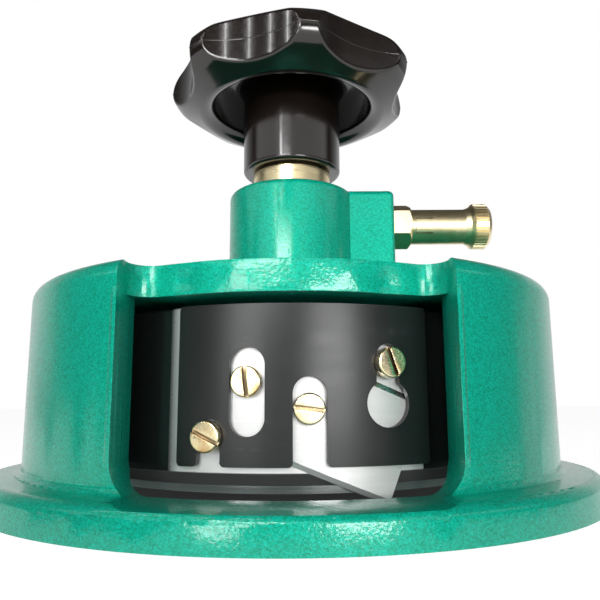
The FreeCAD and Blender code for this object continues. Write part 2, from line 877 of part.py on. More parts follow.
def add_drum_bolt():
    body = new_body("drum_bolt")
    seat = pocket_ceiling - sizes.drum_washer_height
    bottom = seat - sizes.bolt_head_height
    profile = new_sketch(body, "XZ_Plane", "bolt_profile")
    draw_outline(profile, [
        (0, bottom),
        (sizes.bolt_head_radius, bottom),
        (sizes.bolt_head_radius, seat),
        (sizes.bolt_radius, seat),
        (sizes.bolt_radius, seat + sizes.bolt_length),
        (0, seat + sizes.bolt_length),
    ])
    revolve(body, profile)
    socket = new_sketch(body, "XY_Plane", "bolt_socket", lift=bottom)
    hexagon(socket, sizes.bolt_socket_width)
    pocket(body, socket, sizes.bolt_socket_depth, along_normal=True)
    return body


def add_drum_washer():
    body = new_body("drum_washer")
    profile = new_sketch(body, "XZ_Plane", "drum_washer_profile")
    draw_outline(profile, box_corners(
        sizes.bolt_radius + sizes.face_clearance, pocket_ceiling - sizes.drum_washer_height,
        sizes.drum_washer_radius, pocket_ceiling))
    revolve(body, profile)
    return body


def add_handwheel():
    """A rim with a round nose and a crowned top, cut by upright finger scallops."""
    body = new_body("handwheel")
    slope = math.radians(sizes.wheel_slope.value)
    nose = sizes.wheel_nose_radius
    nose_centre = sizes.wheel_radius - nose
    nose_side = nose_centre + nose * math.sin(slope)
    nose_half = nose * math.cos(slope)
    crown_radius = nose_side / math.sin(slope)
    crown_centre = wheel_middle + nose_half - crown_radius * math.cos(slope)
    crown_top = crown_centre + crown_radius
    recess = sizes.wheel_recess_radius
    recess_top = wheel_middle + sizes.wheel_recess_rise
    underside = wheel_middle - nose_half - (nose_side - recess) * math.tan(slope)
    profile = new_sketch(body, "XZ_Plane", "wheel_profile")
    draw_outline(profile, [
        (0, hub_bottom),
        (sizes.hub_radius, hub_bottom),
        (sizes.hub_radius, recess_top),
        (recess, recess_top),
        (recess, underside),
        (nose_side, wheel_middle - nose_half),
        (nose_side, wheel_middle + nose_half),
        (0, crown_top),
    ], {
        5: ((nose_centre, wheel_middle), nose, False),
        6: ((0, crown_centre), crown_radius, False),
    })
    shape = revolve(body, profile)
    shape = round_edges(body, shape, lambda edge: is_ring(edge, sizes.hub_radius, hub_bottom),
                        sizes.hub_round, "hub_round")
    shape = round_edges(body, shape, lambda edge: is_ring(edge, sizes.hub_radius, recess_top),
                        sizes.hub_foot_round, "hub_foot_round")
    round_edges(body, shape, lambda edge: is_ring(edge, recess, underside),
                sizes.wheel_recess_round, "wheel_recess_round")

    scallop = new_sketch(body, "XY_Plane", "wheel_scallop", lift=hub_bottom)
    floor = sizes.wheel_radius - sizes.scallop_depth
    reach = floor + sizes.scallop_radius
    lean = math.radians(sizes.scallop_turn.value)
    draw_circle(scallop, reach * math.sin(lean), -(reach * math.cos(lean)), sizes.scallop_radius)
    cut = pocket(body, scallop, crown_top - hub_bottom, along_normal=True)
    shape = polar(body, [cut], "Z_Axis", sizes.wheel_scallops)

    count = int(sizes.wheel_scallops.value)
    spread = [lean + 2 * math.pi * number / count for number in range(count)]
    centres = [Vector(reach.value * math.sin(turn), -reach.value * math.cos(turn), 0) for turn in spread]

    def scallop_edge(edge):
        point = middle(edge)
        gaps = [math.hypot(point.x - centre.x, point.y - centre.y) for centre in centres]
        return same(min(gaps), sizes.scallop_radius)

    round_edges(body, shape, scallop_edge, sizes.scallop_edge_round, "scallop_edge_round")

    bore = new_sketch(body, "XY_Plane", "wheel_bore", lift=hub_bottom)
    draw_circle(bore, 0, 0, sizes.insert_radius)
    pocket(body, bore, sizes.insert_height, along_normal=True)
    screw_hole = new_sketch(body, "XZ_Plane", "wheel_screw_hole")
    draw_circle(screw_hole, 0, set_screw_height, sizes.set_screw_radius)
    pocket(body, screw_hole, sizes.hub_radius * 2)
    return body


def add_hub_insert():
    body = new_body("hub_insert")
    blind_top = insert_top - sizes.spindle_top_cover
    profile = new_sketch(body, "XZ_Plane", "insert_profile")
    draw_outline(profile, [
        (sizes.spindle_radius, hub_bottom),
        (sizes.insert_radius, hub_bottom),
        (sizes.insert_radius, insert_top),
        (0, insert_top),
        (0, blind_top),
        (sizes.spindle_radius, blind_top),
    ])
    revolve(body, profile)
    screw_hole = new_sketch(body, "XZ_Plane", "insert_screw_hole")
    draw_circle(screw_hole, 0, set_screw_height, sizes.set_screw_radius)
    pocket(body, screw_hole, sizes.hub_radius * 2)
    return body


def add_hub_set_screw():
    body = new_body("hub_set_screw")
    outer = sizes.hub_radius - sizes.set_screw_sink
    section = new_sketch(body, "XZ_Plane", "set_screw_section", lift=-sizes.spindle_radius)
    draw_circle(section, 0, set_screw_height, sizes.set_screw_radius)
    pad(body, section, outer - sizes.spindle_radius, backwards=True)
    socket = new_sketch(body, "XZ_Plane", "set_screw_socket", lift=-outer)
    hexagon(socket, sizes.set_screw_socket_width, up=set_screw_height)
    pocket(body, socket, sizes.set_screw_socket_depth, along_normal=True)
    return body


# Blade stations: one is modelled at the window and copied round the drum

def radial_bar(name, across, height, radius, start, end):
    """A round bar that points outwards at a place on the unrolled plate."""
    lay = Placement(Vector(0, -float(start), float(height)), Rotation(X_AXIS, QUARTER_TURN))
    place = turned(arc_angle(across, plate_outer)).multiply(lay)
    return primitive("Cylinder", name, place, Radius=radius, Height=as_size(end) - start)


def radial_block(name, across, low, width, height, start, end):
    """A block that points outwards, centred on a place along the unrolled plate."""
    corner = Vector(-float(width) / 2, -float(end), float(low))
    place = turned(arc_angle(across, plate_outer)).multiply(Placement(corner, Rotation()))
    return primitive("Box", name, place, Length=width, Width=as_size(end) - start, Height=height)


def ring_segment(name, inner, outer, low, height, first, span):
    """A piece of a tube wall from one angle over a span, with 0 facing the window."""
    place = Placement(Vector(0, 0, float(low)), Rotation(Z_AXIS, first - QUARTER_TURN))
    wall = primitive("Cylinder", f"{name}_outer", place, Radius=outer, Height=height)
    wall.Angle = span
    core = primitive("Cylinder", f"{name}_inner", Placement(Vector(0, 0, float(low)), Rotation()),
                     Radius=inner, Height=height)
    return boolean("Cut", f"{name}_wall", wall, core)


def grind_blade(sheet_metal, blade_place):
    """Bevel both long edges of the blade on its outer face, so that it can be turned end for end."""
    half_width = sizes.blade_width.value / 2
    to_blade = blade_place.inverse()

    def on_long_side(point):
        return same(abs(to_blade.multVec(point).z), half_width)

    bevels = []
    for number, edge in enumerate(sheet_metal.Shape.Edges, 1):
        ends = [edge.valueAt(edge.FirstParameter), middle(edge), edge.valueAt(edge.LastParameter)]
        outside = all(same(math.hypot(point.x, point.y), blade_outer) for point in ends)
        if outside and all(on_long_side(point) for point in ends):
            bevels.append((number, sizes.blade_bevel_width.value, sizes.blade_bevel_depth.value))
    ground = doc.addObject("Part::Chamfer", "blade_bevels")
    ground.Base = sheet_metal
    ground.Edges = bevels
    return settle(ground)


def model_blade():
    deep = sizes.seat_radius * 2
    start = sizes.notch_across + sizes.screw_shank_radius + sizes.blade_side_gap
    first = arc_angle(start, plate_outer)
    wall = ring_segment("blade", sizes.seat_radius, blade_outer, 0, drum_height, first, QUARTER_TURN - first)
    lean = Rotation(Y_AXIS, sizes.blade_tilt.value)
    centre = Vector(sizes.blade_middle_across.value, 0, sizes.blade_middle_height.value)
    corner = Vector(-sizes.blade_length.value / 2, -deep.value, -sizes.blade_width.value / 2)
    place = Placement(centre, lean).multiply(Placement(corner, Rotation()))
    outline = primitive("Box", "blade_outline", place, Length=sizes.blade_length,
                        Width=deep, Height=sizes.blade_width)
    sheet_metal = boolean("Common", "blade_sheet", wall, outline)
    ground = grind_blade(sheet_metal, Placement(centre, lean))
    places = station_places()
    holes = [("blade_spare_hole", sizes.blade_spare_hole_across, sizes.blade_spare_hole_height)]
    for name in ("long_slot", "open_slot"):
        holes.append((f"blade_{name}_hole", places[name][0], places[name][1]))
    bars = [radial_bar(name, across, height, sizes.blade_hole_radius, drum_step_radius, plate_outer)
            for name, across, height in holes]
    return boolean("Cut", "blade_model", ground, join("blade_holes", bars))


def model_plate():
    first = arc_angle(-sizes.plate_left, plate_outer)
    span = arc_angle(sizes.plate_left + sizes.plate_right, plate_outer)
    wall = ring_segment("plate", plate_inner, plate_outer, sizes.plate_bottom,
                        plate_top - sizes.plate_bottom, first, span)
    reach = (drum_step_radius, cavity_radius)

    def slot(name, across, width, low, high, round_bottom):
        """A slot with a round top, and a round or an open bottom."""
        end_radius = width / 2
        start = low + end_radius if round_bottom else low - end_radius
        pieces = [
            radial_block(f"{name}_run", across, start, width, high - end_radius - start, *reach),
            radial_bar(f"{name}_top", across, high - end_radius, end_radius, *reach),
        ]
        if round_bottom:
            pieces.append(radial_bar(f"{name}_foot", across, start, end_radius, *reach))
        return join(name, pieces)

    cuts = [
        slot("plate_notch", sizes.notch_across, sizes.notch_width, sizes.plate_bottom,
             sizes.notch_top, False),
        slot("plate_long_slot", sizes.long_slot_across, sizes.long_slot_width, sizes.long_slot_bottom,
             sizes.long_slot_top, True),
        slot("plate_open_slot", sizes.open_slot_across, sizes.open_slot_width, sizes.plate_bottom,
             sizes.open_slot_top, False),
        slot("plate_keyhole_neck", sizes.keyhole_across, sizes.keyhole_neck_width, sizes.keyhole_height,
             sizes.keyhole_neck_top, True),
        radial_bar("plate_keyhole", sizes.keyhole_across, sizes.keyhole_height, sizes.keyhole_radius, *reach),
    ]
    cut = boolean("Cut", "plate_cut", wall, join("plate_cuts", cuts))

    def corner(edge):
        level = same(edge.BoundBox.ZLength, 0)
        at_end = same(edge.BoundBox.ZMin, sizes.plate_bottom) or same(edge.BoundBox.ZMin, plate_top)
        return level and at_end and isinstance(edge.Curve, Part.Line)

    rounded = doc.addObject("Part::Fillet", "plate_model")
    rounded.Base = cut
    radius = sizes.plate_corner_round.value
    rounded.Edges = [(number, radius, radius)
                     for number, edge in enumerate(cut.Shape.Edges, start=1) if corner(edge)]
    doc.recompute()
    return rounded


def model_screw(name, head_seat):
    """A slotted cheese-head screw, point down, with its head's seat at height 0."""
    body = new_body(name)
    length = sizes.screw_grip + head_seat - sizes.seat_radius
    profile = new_sketch(body, "XZ_Plane", f"{name}_profile")
    draw_outline(profile, [
        (0, -length),
        (sizes.screw_shank_radius, -length),
        (sizes.screw_shank_radius, 0),
        (sizes.screw_head_radius, 0),
        (sizes.screw_head_radius, sizes.screw_head_height),
        (0, sizes.screw_head_height),
    ])
    shape = revolve(body, profile)
    round_edges(body, shape, lambda edge: is_ring(edge, sizes.screw_head_radius, sizes.screw_head_height),
                sizes.screw_head_round, f"{name}_head_round")
    slot = new_sketch(body, "XY_Plane", f"{name}_slot", lift=sizes.screw_head_height)
    half_slot = sizes.screw_slot_width / 2
    reach = sizes.screw_head_radius * 2
    draw_outline(slot, box_corners(-reach, -half_slot, reach, half_slot))
    pocket(body, slot, sizes.screw_slot_depth)
    return body


def screw_pair(label, model, head_seat, names, station_turn):
    solids = []
    for name in names:
        across, height, slot_turn = station_places()[name]
        spin = Placement(Vector(0, 0, 0), Rotation(Z_AXIS, slot_turn.value + station_turn))
        lay = Placement(Vector(0, -float(head_seat), float(height)), Rotation(X_AXIS, QUARTER_TURN))
        place = turned(arc_angle(across, plate_outer)).multiply(lay).multiply(spin)
        solid = model.Shape.copy()
        solid.Placement = place
        solids.append(solid)
    return placed_copy(label, Part.makeCompound(solids), turned(station_turn))


def add_stations():
    blade = model_blade()
    plate = model_plate()
    clamp_screw = model_screw("clamp_screw_model", plate_outer)
    blade_screw = model_screw("blade_screw_model", blade_outer)
    nodes = []
    count = int(sizes.stations.value)
    for number in range(1, count + 1):
        turn = FULL_TURN / count * (number - 1)
        nodes.append(placed_copy(f"blade_{number}", blade.Shape.copy(), turned(turn)))
        nodes.append(placed_copy(f"clamp_plate_{number}", plate.Shape.copy(), turned(turn)))
        nodes.append(screw_pair(f"clamp_screws_{number}", clamp_screw, plate_outer, ("notch", "neck"), turn))
        nodes.append(screw_pair(f"blade_screws_{number}", blade_screw, blade_outer,
                                ("long_slot", "open_slot"), turn))
    return nodes


# Catch: its pieces lie along +X from the spindle's centre line, at the catch's height

def catch_body(label):
    body = new_body(label)
    body.setExpression(".Placement.Base.z", catch_height.formula)
    return body


def add_catch_sleeve():
    body = catch_body("catch_sleeve")
    hex_sketch = new_sketch(body, "YZ_Plane", "sleeve_hex", lift=ear_reach)
    hexagon(hex_sketch, sizes.hex_width)
    pad(body, hex_sketch, sizes.hex_length)
    bevel = new_sketch(body, "XZ_Plane", "sleeve_hex_bevel")
    bevel_radius = sizes.hex_width / 2
    draw_outline(bevel, [
        (hex_end, bevel_radius),
        (hex_end, bevel_radius * 2),
        (hex_end - sizes.hex_chamfer * 2, bevel_radius * 2),
        (hex_end - sizes.hex_chamfer, bevel_radius + sizes.hex_chamfer),
    ])
    revolve(body, bevel, axis="H_Axis", cut=True)
    turning = new_sketch(body, "XZ_Plane", "sleeve_profile")
    draw_outline(turning, [
        (shank_start, 0),
        (shank_start, sizes.shank_radius),
        (ear_reach, sizes.shank_radius),
        (ear_reach, sizes.barrel_radius),
        (barrel_split, sizes.barrel_radius),
        (barrel_split, 0),
    ])
    revolve(body, turning, axis="H_Axis")
    spring_bore = new_sketch(body, "YZ_Plane", "sleeve_spring_bore", lift=shank_start)
    draw_circle(spring_bore, 0, 0, sizes.spring_bore_radius)
    pocket(body, spring_bore, spring_bore_end - shank_start, along_normal=True)
    rod_hole = new_sketch(body, "YZ_Plane", "sleeve_rod_hole", lift=shank_start)
    draw_circle(rod_hole, 0, 0, sizes.rod_radius + sizes.pin_clearance)
    pocket(body, rod_hole, knob_end, along_normal=True)
    tongue_slot = new_sketch(body, "YZ_Plane", "sleeve_tongue_slot", lift=slot_floor)
    half_slot = sizes.tongue_width / 2 + sizes.tongue_side_gap
    reach = sizes.barrel_radius * 2
    draw_outline(tongue_slot, box_corners(-reach, -half_slot, reach, half_slot))
    turn_tongue(tongue_slot, slot_floor)
    pocket(body, tongue_slot, sizes.slot_depth * 2, along_normal=True)
    return body


def turn_tongue(sketch, lift):
    """Turn a sketch that looks along the catch, so that the tongue's front end points down."""
    turn = Rotation(Z_AXIS, sizes.tongue_turn.value)
    sketch.AttachmentOffset = Placement(Vector(0, 0, lift.value), turn)


def add_catch_pin():
    body = catch_body("catch_pin")
    rod_end = knob_end - sizes.rod_end_cover
    profile = new_sketch(body, "XZ_Plane", "pin_profile")
    tip_radius = sizes.catch_pin_radius - sizes.catch_pin_tip_chamfer
    draw_outline(profile, [
        (pin_tip, 0),
        (pin_tip, tip_radius),
        (pin_tip + sizes.catch_pin_tip_chamfer, sizes.catch_pin_radius),
        (abutment_start, sizes.catch_pin_radius),
        (abutment_start, sizes.abutment_radius),
        (abutment_end, sizes.abutment_radius),
        (abutment_end, sizes.rod_radius),
        (rod_end, sizes.rod_radius),
        (rod_end, 0),
    ])
    revolve(body, profile, axis="H_Axis")
    cross_hole(body, "pin_cross_hole")
    return body


def cross_hole(body, name):
    """The blind hole for the roll pin, from the back of the knob through the rod."""
    hole = new_sketch(body, "XY_Plane", name)
    draw_circle(hole, roll_pin_place, 0, sizes.roll_pin_radius)
    tilt = Rotation(X_AXIS, -sizes.roll_pin_turn.value)
    start = tilt.multVec(Vector(0, 0, -sizes.rod_radius.value))
    hole.AttachmentOffset = Placement(start, tilt)
    pocket(body, hole, sizes.barrel_radius * 2, along_normal=True)


def add_catch_knob():
    body = catch_body("catch_knob")
    sleeve_end = barrel_split + sizes.face_clearance
    profile = new_sketch(body, "XZ_Plane", "knob_profile")
    draw_outline(profile, [
        (sleeve_end, 0),
        (sleeve_end, sizes.barrel_radius),
        (knob_cone_start, sizes.barrel_radius),
        (knob_head_start, sizes.knob_head_radius - sizes.knob_head_chamfer),
        (knob_head_start + sizes.knob_head_chamfer, sizes.knob_head_radius),
        (knob_end - sizes.knob_head_chamfer, sizes.knob_head_radius),
        (knob_end, sizes.knob_head_radius - sizes.knob_head_chamfer),
        (knob_end, 0),
    ])
    revolve(body, profile, axis="H_Axis")
    tongue_start = slot_floor + sizes.face_clearance
    tongue = new_sketch(body, "YZ_Plane", "knob_tongue", lift=tongue_start)
    half_tongue = sizes.tongue_width / 2
    reach = sizes.barrel_radius * 2
    draw_outline(tongue, box_corners(-reach, -half_tongue, reach, half_tongue))
    turn_tongue(tongue, tongue_start)
    pad(body, tongue, barrel_split - tongue_start + sizes.face_clearance * 2)
    trim = new_sketch(body, "XZ_Plane", "knob_tongue_trim")
    draw_outline(trim, box_corners(
        slot_floor, sizes.barrel_radius, barrel_split + sizes.face_clearance * 3, reach * 2))
    revolve(body, trim, axis="H_Axis", cut=True)
    rod_bore = new_sketch(body, "YZ_Plane", "knob_rod_bore", lift=slot_floor)
    draw_circle(rod_bore, 0, 0, sizes.rod_radius)
    pocket(body, rod_bore, knob_end - sizes.rod_end_cover - slot_floor, along_normal=True)
    cross_hole(body, "knob_cross_hole")
    knurl = new_sketch(body, "YZ_Plane", "knob_knurl", lift=knob_head_start)
    root = sizes.knob_head_radius - sizes.knurl_depth
    draw_outline(knurl, [
        (0, root),
        (sizes.knurl_depth, sizes.knob_head_radius + sizes.knurl_depth),
        (-sizes.knurl_depth, sizes.knob_head_radius + sizes.knurl_depth),
    ])
    groove = pocket(body, knurl, knob_end - knob_head_start, along_normal=True)
    polar(body, [groove], "X_Axis", sizes.knurl_count)
    return body


def add_catch_roll_pin():
    tilt = Rotation(X_AXIS, -sizes.roll_pin_turn.value)
    start = Vector(roll_pin_place.value, 0, catch_height.value)
    start = start + tilt.multVec(Vector(0, 0, -sizes.rod_radius.value))
    pin = primitive("Cylinder", "catch_roll_pin", Placement(start, tilt), Radius=sizes.roll_pin_radius,
                    Height=sizes.rod_radius + sizes.barrel_radius - sizes.face_clearance)
    pin.Label = "catch_roll_pin"
    return pin


def add_catch_spring():
    length = spring_bore_end - abutment_end
    shape = coil("catch_spring", sizes.catch_spring_radius.value, sizes.catch_wire.value,
                 length.value, sizes.catch_spring_turns.value)
    start = Vector(abutment_end.value, 0, catch_height.value)
    return placed_copy("catch_spring", shape, Placement(start, Rotation(Y_AXIS, QUARTER_TURN)))


def add_all():
    return [
        add_housing(),
        add_guide_bush(),
        add_spring_washer(),
        add_return_spring(),
        add_thrust_collar(),
        add_spindle(),
        add_blade_drum(),
        add_drum_key(),
        add_drum_bolt(),
        add_drum_washer(),
        add_handwheel(),
        add_hub_insert(),
        add_hub_set_screw(),
        *add_stations(),
        add_catch_sleeve(),
        add_catch_pin(),
        add_catch_knob(),
        add_catch_roll_pin(),
        add_catch_spring(),
    ]


def check_document(nodes):
    doc.recompute()
    faults = [item.Name for item in doc.Objects if "Invalid" in item.State or "Error" in item.State]
    for node in nodes:
        if node.Shape.isNull() or not node.Shape.isValid() or not node.Shape.Solids:
            faults.append(node.Label)
    if faults:
        raise RuntimeError(f"failed pieces: {', '.join(faults)}")


def write_parts(nodes):
    os.makedirs("parts", exist_ok=True)
    for node in nodes:
        node.Shape.exportStep(f"parts/{node.Label}.step")
        print(f"{node.Label}: {len(node.Shape.Solids)} solids, {node.Shape.Volume / 1000:.3f} cm3")


pieces = add_all()
check_document(pieces)
write_parts(pieces)
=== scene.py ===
import math

import bpy
from bpy.props import FloatProperty, FloatVectorProperty, PointerProperty
from mathutils import Matrix, Vector


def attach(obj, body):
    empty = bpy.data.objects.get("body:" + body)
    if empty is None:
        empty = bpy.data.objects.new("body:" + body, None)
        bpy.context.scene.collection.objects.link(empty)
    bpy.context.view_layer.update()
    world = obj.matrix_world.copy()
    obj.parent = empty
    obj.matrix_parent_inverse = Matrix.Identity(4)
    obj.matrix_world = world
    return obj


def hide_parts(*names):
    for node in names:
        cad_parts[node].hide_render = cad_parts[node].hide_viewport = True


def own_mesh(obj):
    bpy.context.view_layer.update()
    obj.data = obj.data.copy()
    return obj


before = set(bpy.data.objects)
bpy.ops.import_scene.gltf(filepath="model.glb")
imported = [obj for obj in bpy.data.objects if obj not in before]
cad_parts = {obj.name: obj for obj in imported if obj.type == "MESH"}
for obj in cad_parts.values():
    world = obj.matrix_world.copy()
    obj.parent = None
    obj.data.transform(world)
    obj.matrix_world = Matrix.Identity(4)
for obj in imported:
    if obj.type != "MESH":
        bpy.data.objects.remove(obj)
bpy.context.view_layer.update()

bl_info = {
    "name": "Round sample cutter finishes",
    "version": (1, 0, 0),
    "blender": (4, 5, 0),
    "location": "View3D > Sidebar > Sample Cutter",
    "description": "Finishes and stage for a press-and-turn cutter of round fabric samples",
    "category": "Object",
}


# Settings that a user would change

class PaintSettings(bpy.types.PropertyGroup):
    """The housing's speckled green enamel."""
    colour: FloatVectorProperty(
        name="Enamel", description="Body colour of the enamel", subtype="COLOR", size=3,
        min=0.0, max=1.0, default=(0.001, 0.395, 0.26))
    deep: FloatVectorProperty(
        name="Deep enamel", description="Colour between the flakes", subtype="COLOR", size=3,
        min=0.0, max=1.0, default=(0.0, 0.27, 0.16))
    light: FloatVectorProperty(
        name="Light enamel", description="Colour of the flakes that catch light", subtype="COLOR", size=3,
        min=0.0, max=1.0, default=(0.002, 0.52, 0.38))
    flake: FloatProperty(
        name="Flake size", description="Width of one flake", subtype="DISTANCE", unit="LENGTH",
        min=0.0001, max=0.002, default=0.00026)
    peel: FloatProperty(
        name="Orange peel", description="Height of the gloss coat's ripple", subtype="DISTANCE",
        unit="LENGTH", min=0.0, max=0.001, default=0.00009)
    edge: FloatProperty(
        name="Edge round", description="Width of the round on the casting's edges", subtype="DISTANCE",
        unit="LENGTH", min=0.0, max=0.003, default=0.0009)
    wave: FloatProperty(
        name="Casting wave", description="Height of the casting's slow waves", subtype="DISTANCE",
        unit="LENGTH", min=0.0, max=0.005, default=0.0006)


class MetalSettings(bpy.types.PropertyGroup):
    """The bare and plated metals."""
    brass: FloatVectorProperty(
        name="Brass", description="Polished brass", subtype="COLOR", size=3,
        min=0.0, max=1.0, default=(0.90, 0.77, 0.47))
    zinc: FloatVectorProperty(
        name="Yellow zinc", description="Plating of the screws", subtype="COLOR", size=3,
        min=0.0, max=1.0, default=(0.88, 0.74, 0.44))
    steel: FloatVectorProperty(
        name="Bare steel", description="Ground and turned steel", subtype="COLOR", size=3,
        min=0.0, max=1.0, default=(0.66, 0.66, 0.65))


class BlackSettings(bpy.types.PropertyGroup):
    """The black finishes."""
    oxide: FloatVectorProperty(
        name="Black oxide", description="Clamp plates and drum", subtype="COLOR", size=3,
        min=0.0, max=1.0, default=(0.009, 0.010, 0.010))
    moulding: FloatVectorProperty(
        name="Black moulding", description="Handwheel", subtype="COLOR", size=3,
        min=0.0, max=1.0, default=(0.006, 0.005, 0.0045))


class StageSettings(bpy.types.PropertyGroup):
    """The light, the floor and the camera."""
    lamp: FloatProperty(
        name="Lamp brightness", description="Brightness of each lamp's face", min=0.0, default=14.0)
    room: FloatProperty(
        name="Room light", description="Brightness of the room in front", min=0.0, default=0.055)
    backdrop: FloatProperty(
        name="Backdrop light", description="Brightness of the backdrop behind", min=0.0, default=0.80)
    band: FloatProperty(
        name="Band light", description="Brightness of the band of room light above the camera", min=0.0,
        default=0.9)
    floor_size: FloatProperty(
        name="Floor", description="Side of the floor", subtype="DISTANCE", unit="LENGTH",
        min=0.5, default=6.0)


# Node helpers

def calculate(tree, kind, *values):
    """One step of arithmetic; each value is a socket or a plain number."""
    node = tree.nodes.new("ShaderNodeMath")
    node.operation = kind
    for value, socket in zip(values, node.inputs):
        if hasattr(value, "is_output"):
            tree.links.new(value, socket)
        else:
            socket.default_value = value
    return node.outputs["Value"]


def range_of(tree, socket, start, end, low, high):
    """A value that runs from low to high as the socket runs from start to end, and stays between them."""
    node = tree.nodes.new("ShaderNodeMapRange")
    node.inputs["From Min"].default_value = start
    node.inputs["From Max"].default_value = end
    node.inputs["To Min"].default_value = low
    node.inputs["To Max"].default_value = high
    tree.links.new(socket, node.inputs["Value"])
    return node.outputs["Result"]


class Finish:
    """A material's node tree with short calls for its nodes."""

    def __init__(self, name):
        self.material = bpy.data.materials.new(name)
        self.material.use_nodes = True
        self.tree = self.material.node_tree
        self.tree.nodes.clear()
        output = self.tree.nodes.new("ShaderNodeOutputMaterial")
        self.shader = self.tree.nodes.new("ShaderNodeBsdfPrincipled")
        self.link(self.shader.outputs["BSDF"], output, "Surface")
        coordinates = self.tree.nodes.new("ShaderNodeTexCoord")
        self.place = coordinates.outputs["Object"]

    def link(self, socket, target, into):
        self.tree.links.new(socket, target.inputs[into])

    def set(self, **values):
        """Set plain numbers on the shader."""
        for name, value in values.items():
            self.shader.inputs[name.replace("_", " ")].default_value = value

    def feed(self, **sockets):
        """Join node outputs to the shader."""
        for name, socket in sockets.items():
            self.link(socket, self.shader, name.replace("_", " "))

    def mapped(self, scale, turn=(0.0, 0.0, 0.0)):
        node = self.tree.nodes.new("ShaderNodeMapping")
        node.inputs["Scale"].default_value = scale
        node.inputs["Rotation"].default_value = turn
        self.link(self.place, node, "Vector")
        return node.outputs["Vector"]

    def noise(self, scale, detail=2.0, vector=None):
        node = self.tree.nodes.new("ShaderNodeTexNoise")
        node.inputs["Scale"].default_value = scale
        node.inputs["Detail"].default_value = detail
        self.link(vector or self.place, node, "Vector")
        return node.outputs["Fac"]

    def cells(self, scale):
        """Small cells, each with three random values of its own."""
        node = self.tree.nodes.new("ShaderNodeTexVoronoi")
        node.inputs["Scale"].default_value = scale
        self.link(self.place, node, "Vector")
        split = self.tree.nodes.new("ShaderNodeSeparateColor")
        self.link(node.outputs["Color"], split, "Color")
        return split.outputs["Red"], split.outputs["Green"], split.outputs["Blue"]

    def ramp(self, socket, stops):
        """A colour ramp; stops are pairs of place and colour."""
        node = self.tree.nodes.new("ShaderNodeValToRGB")
        elements = node.color_ramp.elements
        while len(elements) < len(stops):
            elements.new(0.5)
        for element, (place, colour) in zip(elements, stops):
            element.position = place
            element.color = (*colour, 1.0)
        self.link(socket, node, "Fac")
        return node.outputs["Color"]

    def spread(self, socket, low, high):
        """Map 0 to 1 onto a range."""
        return range_of(self.tree, socket, 0.0, 1.0, low, high)

    def window(self, socket, start, end):
        """Map a range of a value onto 0 to 1, and hold it there."""
        return range_of(self.tree, socket, start, end, 0.0, 1.0)

    def math(self, kind, *values):
        return calculate(self.tree, kind, *values)

    def product(self, first, *others):
        for other in others:
            first = self.math("MULTIPLY", first, other)
        return first

    def blend(self, factor, first, second):
        """Mix two colours, each a socket or a plain colour."""
        node = self.tree.nodes.new("ShaderNodeMix")
        node.data_type = "RGBA"
        self.link(factor, node, "Factor")
        for name, value in (("A", first), ("B", second)):
            socket = [item for item in node.inputs if item.name == name and item.type == "RGBA"][0]
            if hasattr(value, "is_output"):
                self.tree.links.new(value, socket)
            else:
                socket.default_value = (*value, 1.0)
        return [item for item in node.outputs if item.type == "RGBA"][0]

    def bump(self, socket, strength, distance, under=None):
        node = self.tree.nodes.new("ShaderNodeBump")
        node.inputs["Strength"].default_value = strength
        node.inputs["Distance"].default_value = distance
        self.link(socket, node, "Height")
        if under:
            self.link(under, node, "Normal")
        return node.outputs["Normal"]

    def axes(self):
        node = self.tree.nodes.new("ShaderNodeSeparateXYZ")
        self.link(self.place, node, "Vector")
        return node.outputs["X"], node.outputs["Y"], node.outputs["Z"]

    def reach(self, x, y):
        """The distance from the spindle's axis."""
        return self.math("SQRT", self.math("ADD", self.math("MULTIPLY", x, x), self.math("MULTIPLY", y, y)))


# Helpers for the pieces

JOIN_GAP = 0.000002
FLAT_ANGLE = math.radians(0.4)
SHARP_ANGLE = math.radians(40.0)
SMOOTH_ANGLE = math.radians(32.0)
STATIONS = 4


def numbered(*stems):
    """The names of like pieces at all blade stations."""
    return [f"{stem}_{number}" for stem in stems for number in range(1, STATIONS + 1)]


def give(names, material):
    """Put one material on the object slots of CAD nodes."""
    for name in names:
        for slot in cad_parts[name].material_slots:
            slot.link = "OBJECT"
            slot.material = material


def take(piece):
    """Make one object the only selected and active one."""
    bpy.ops.object.select_all(action="DESELECT")
    piece.select_set(True)
    bpy.context.view_layer.objects.active = piece


def joined_copy(node, name):
    """A copy of a CAD node's mesh with its loose triangles joined and its flat faces made whole."""
    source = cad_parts[node]
    piece = source.copy()
    piece.data = source.data.copy()
    piece.name = name
    piece.data.name = name
    bpy.context.scene.collection.objects.link(piece)
    take(piece)
    bpy.ops.object.mode_set(mode="EDIT")
    bpy.ops.mesh.select_all(action="SELECT")
    bpy.ops.mesh.remove_doubles(threshold=JOIN_GAP)
    bpy.ops.mesh.dissolve_limited(angle_limit=FLAT_ANGLE)
    bpy.ops.object.mode_set(mode="OBJECT")
    return piece


def round_edges(piece, edge, segments):
    """Round a piece's sharp edges and shade what is left smooth."""
    take(piece)
    bevel = piece.modifiers.new("edge_round", "BEVEL")
    bevel.width = edge
    bevel.segments = segments
    bevel.limit_method = "ANGLE"
    bevel.angle_limit = SHARP_ANGLE
    bpy.ops.object.modifier_apply(modifier=bevel.name)
    bpy.ops.object.shade_smooth_by_angle(angle=SMOOTH_ANGLE)


def pick(piece, test):
    """Select the vertices that pass a test, and open the piece for editing."""
    take(piece)
    bpy.ops.object.mode_set(mode="EDIT")
    bpy.ops.mesh.select_mode(type="VERT")
    bpy.ops.mesh.select_all(action="DESELECT")
    bpy.ops.object.mode_set(mode="OBJECT")
    for vertex in piece.data.vertices:
        vertex.select = test(vertex.co)
    bpy.ops.object.mode_set(mode="EDIT")


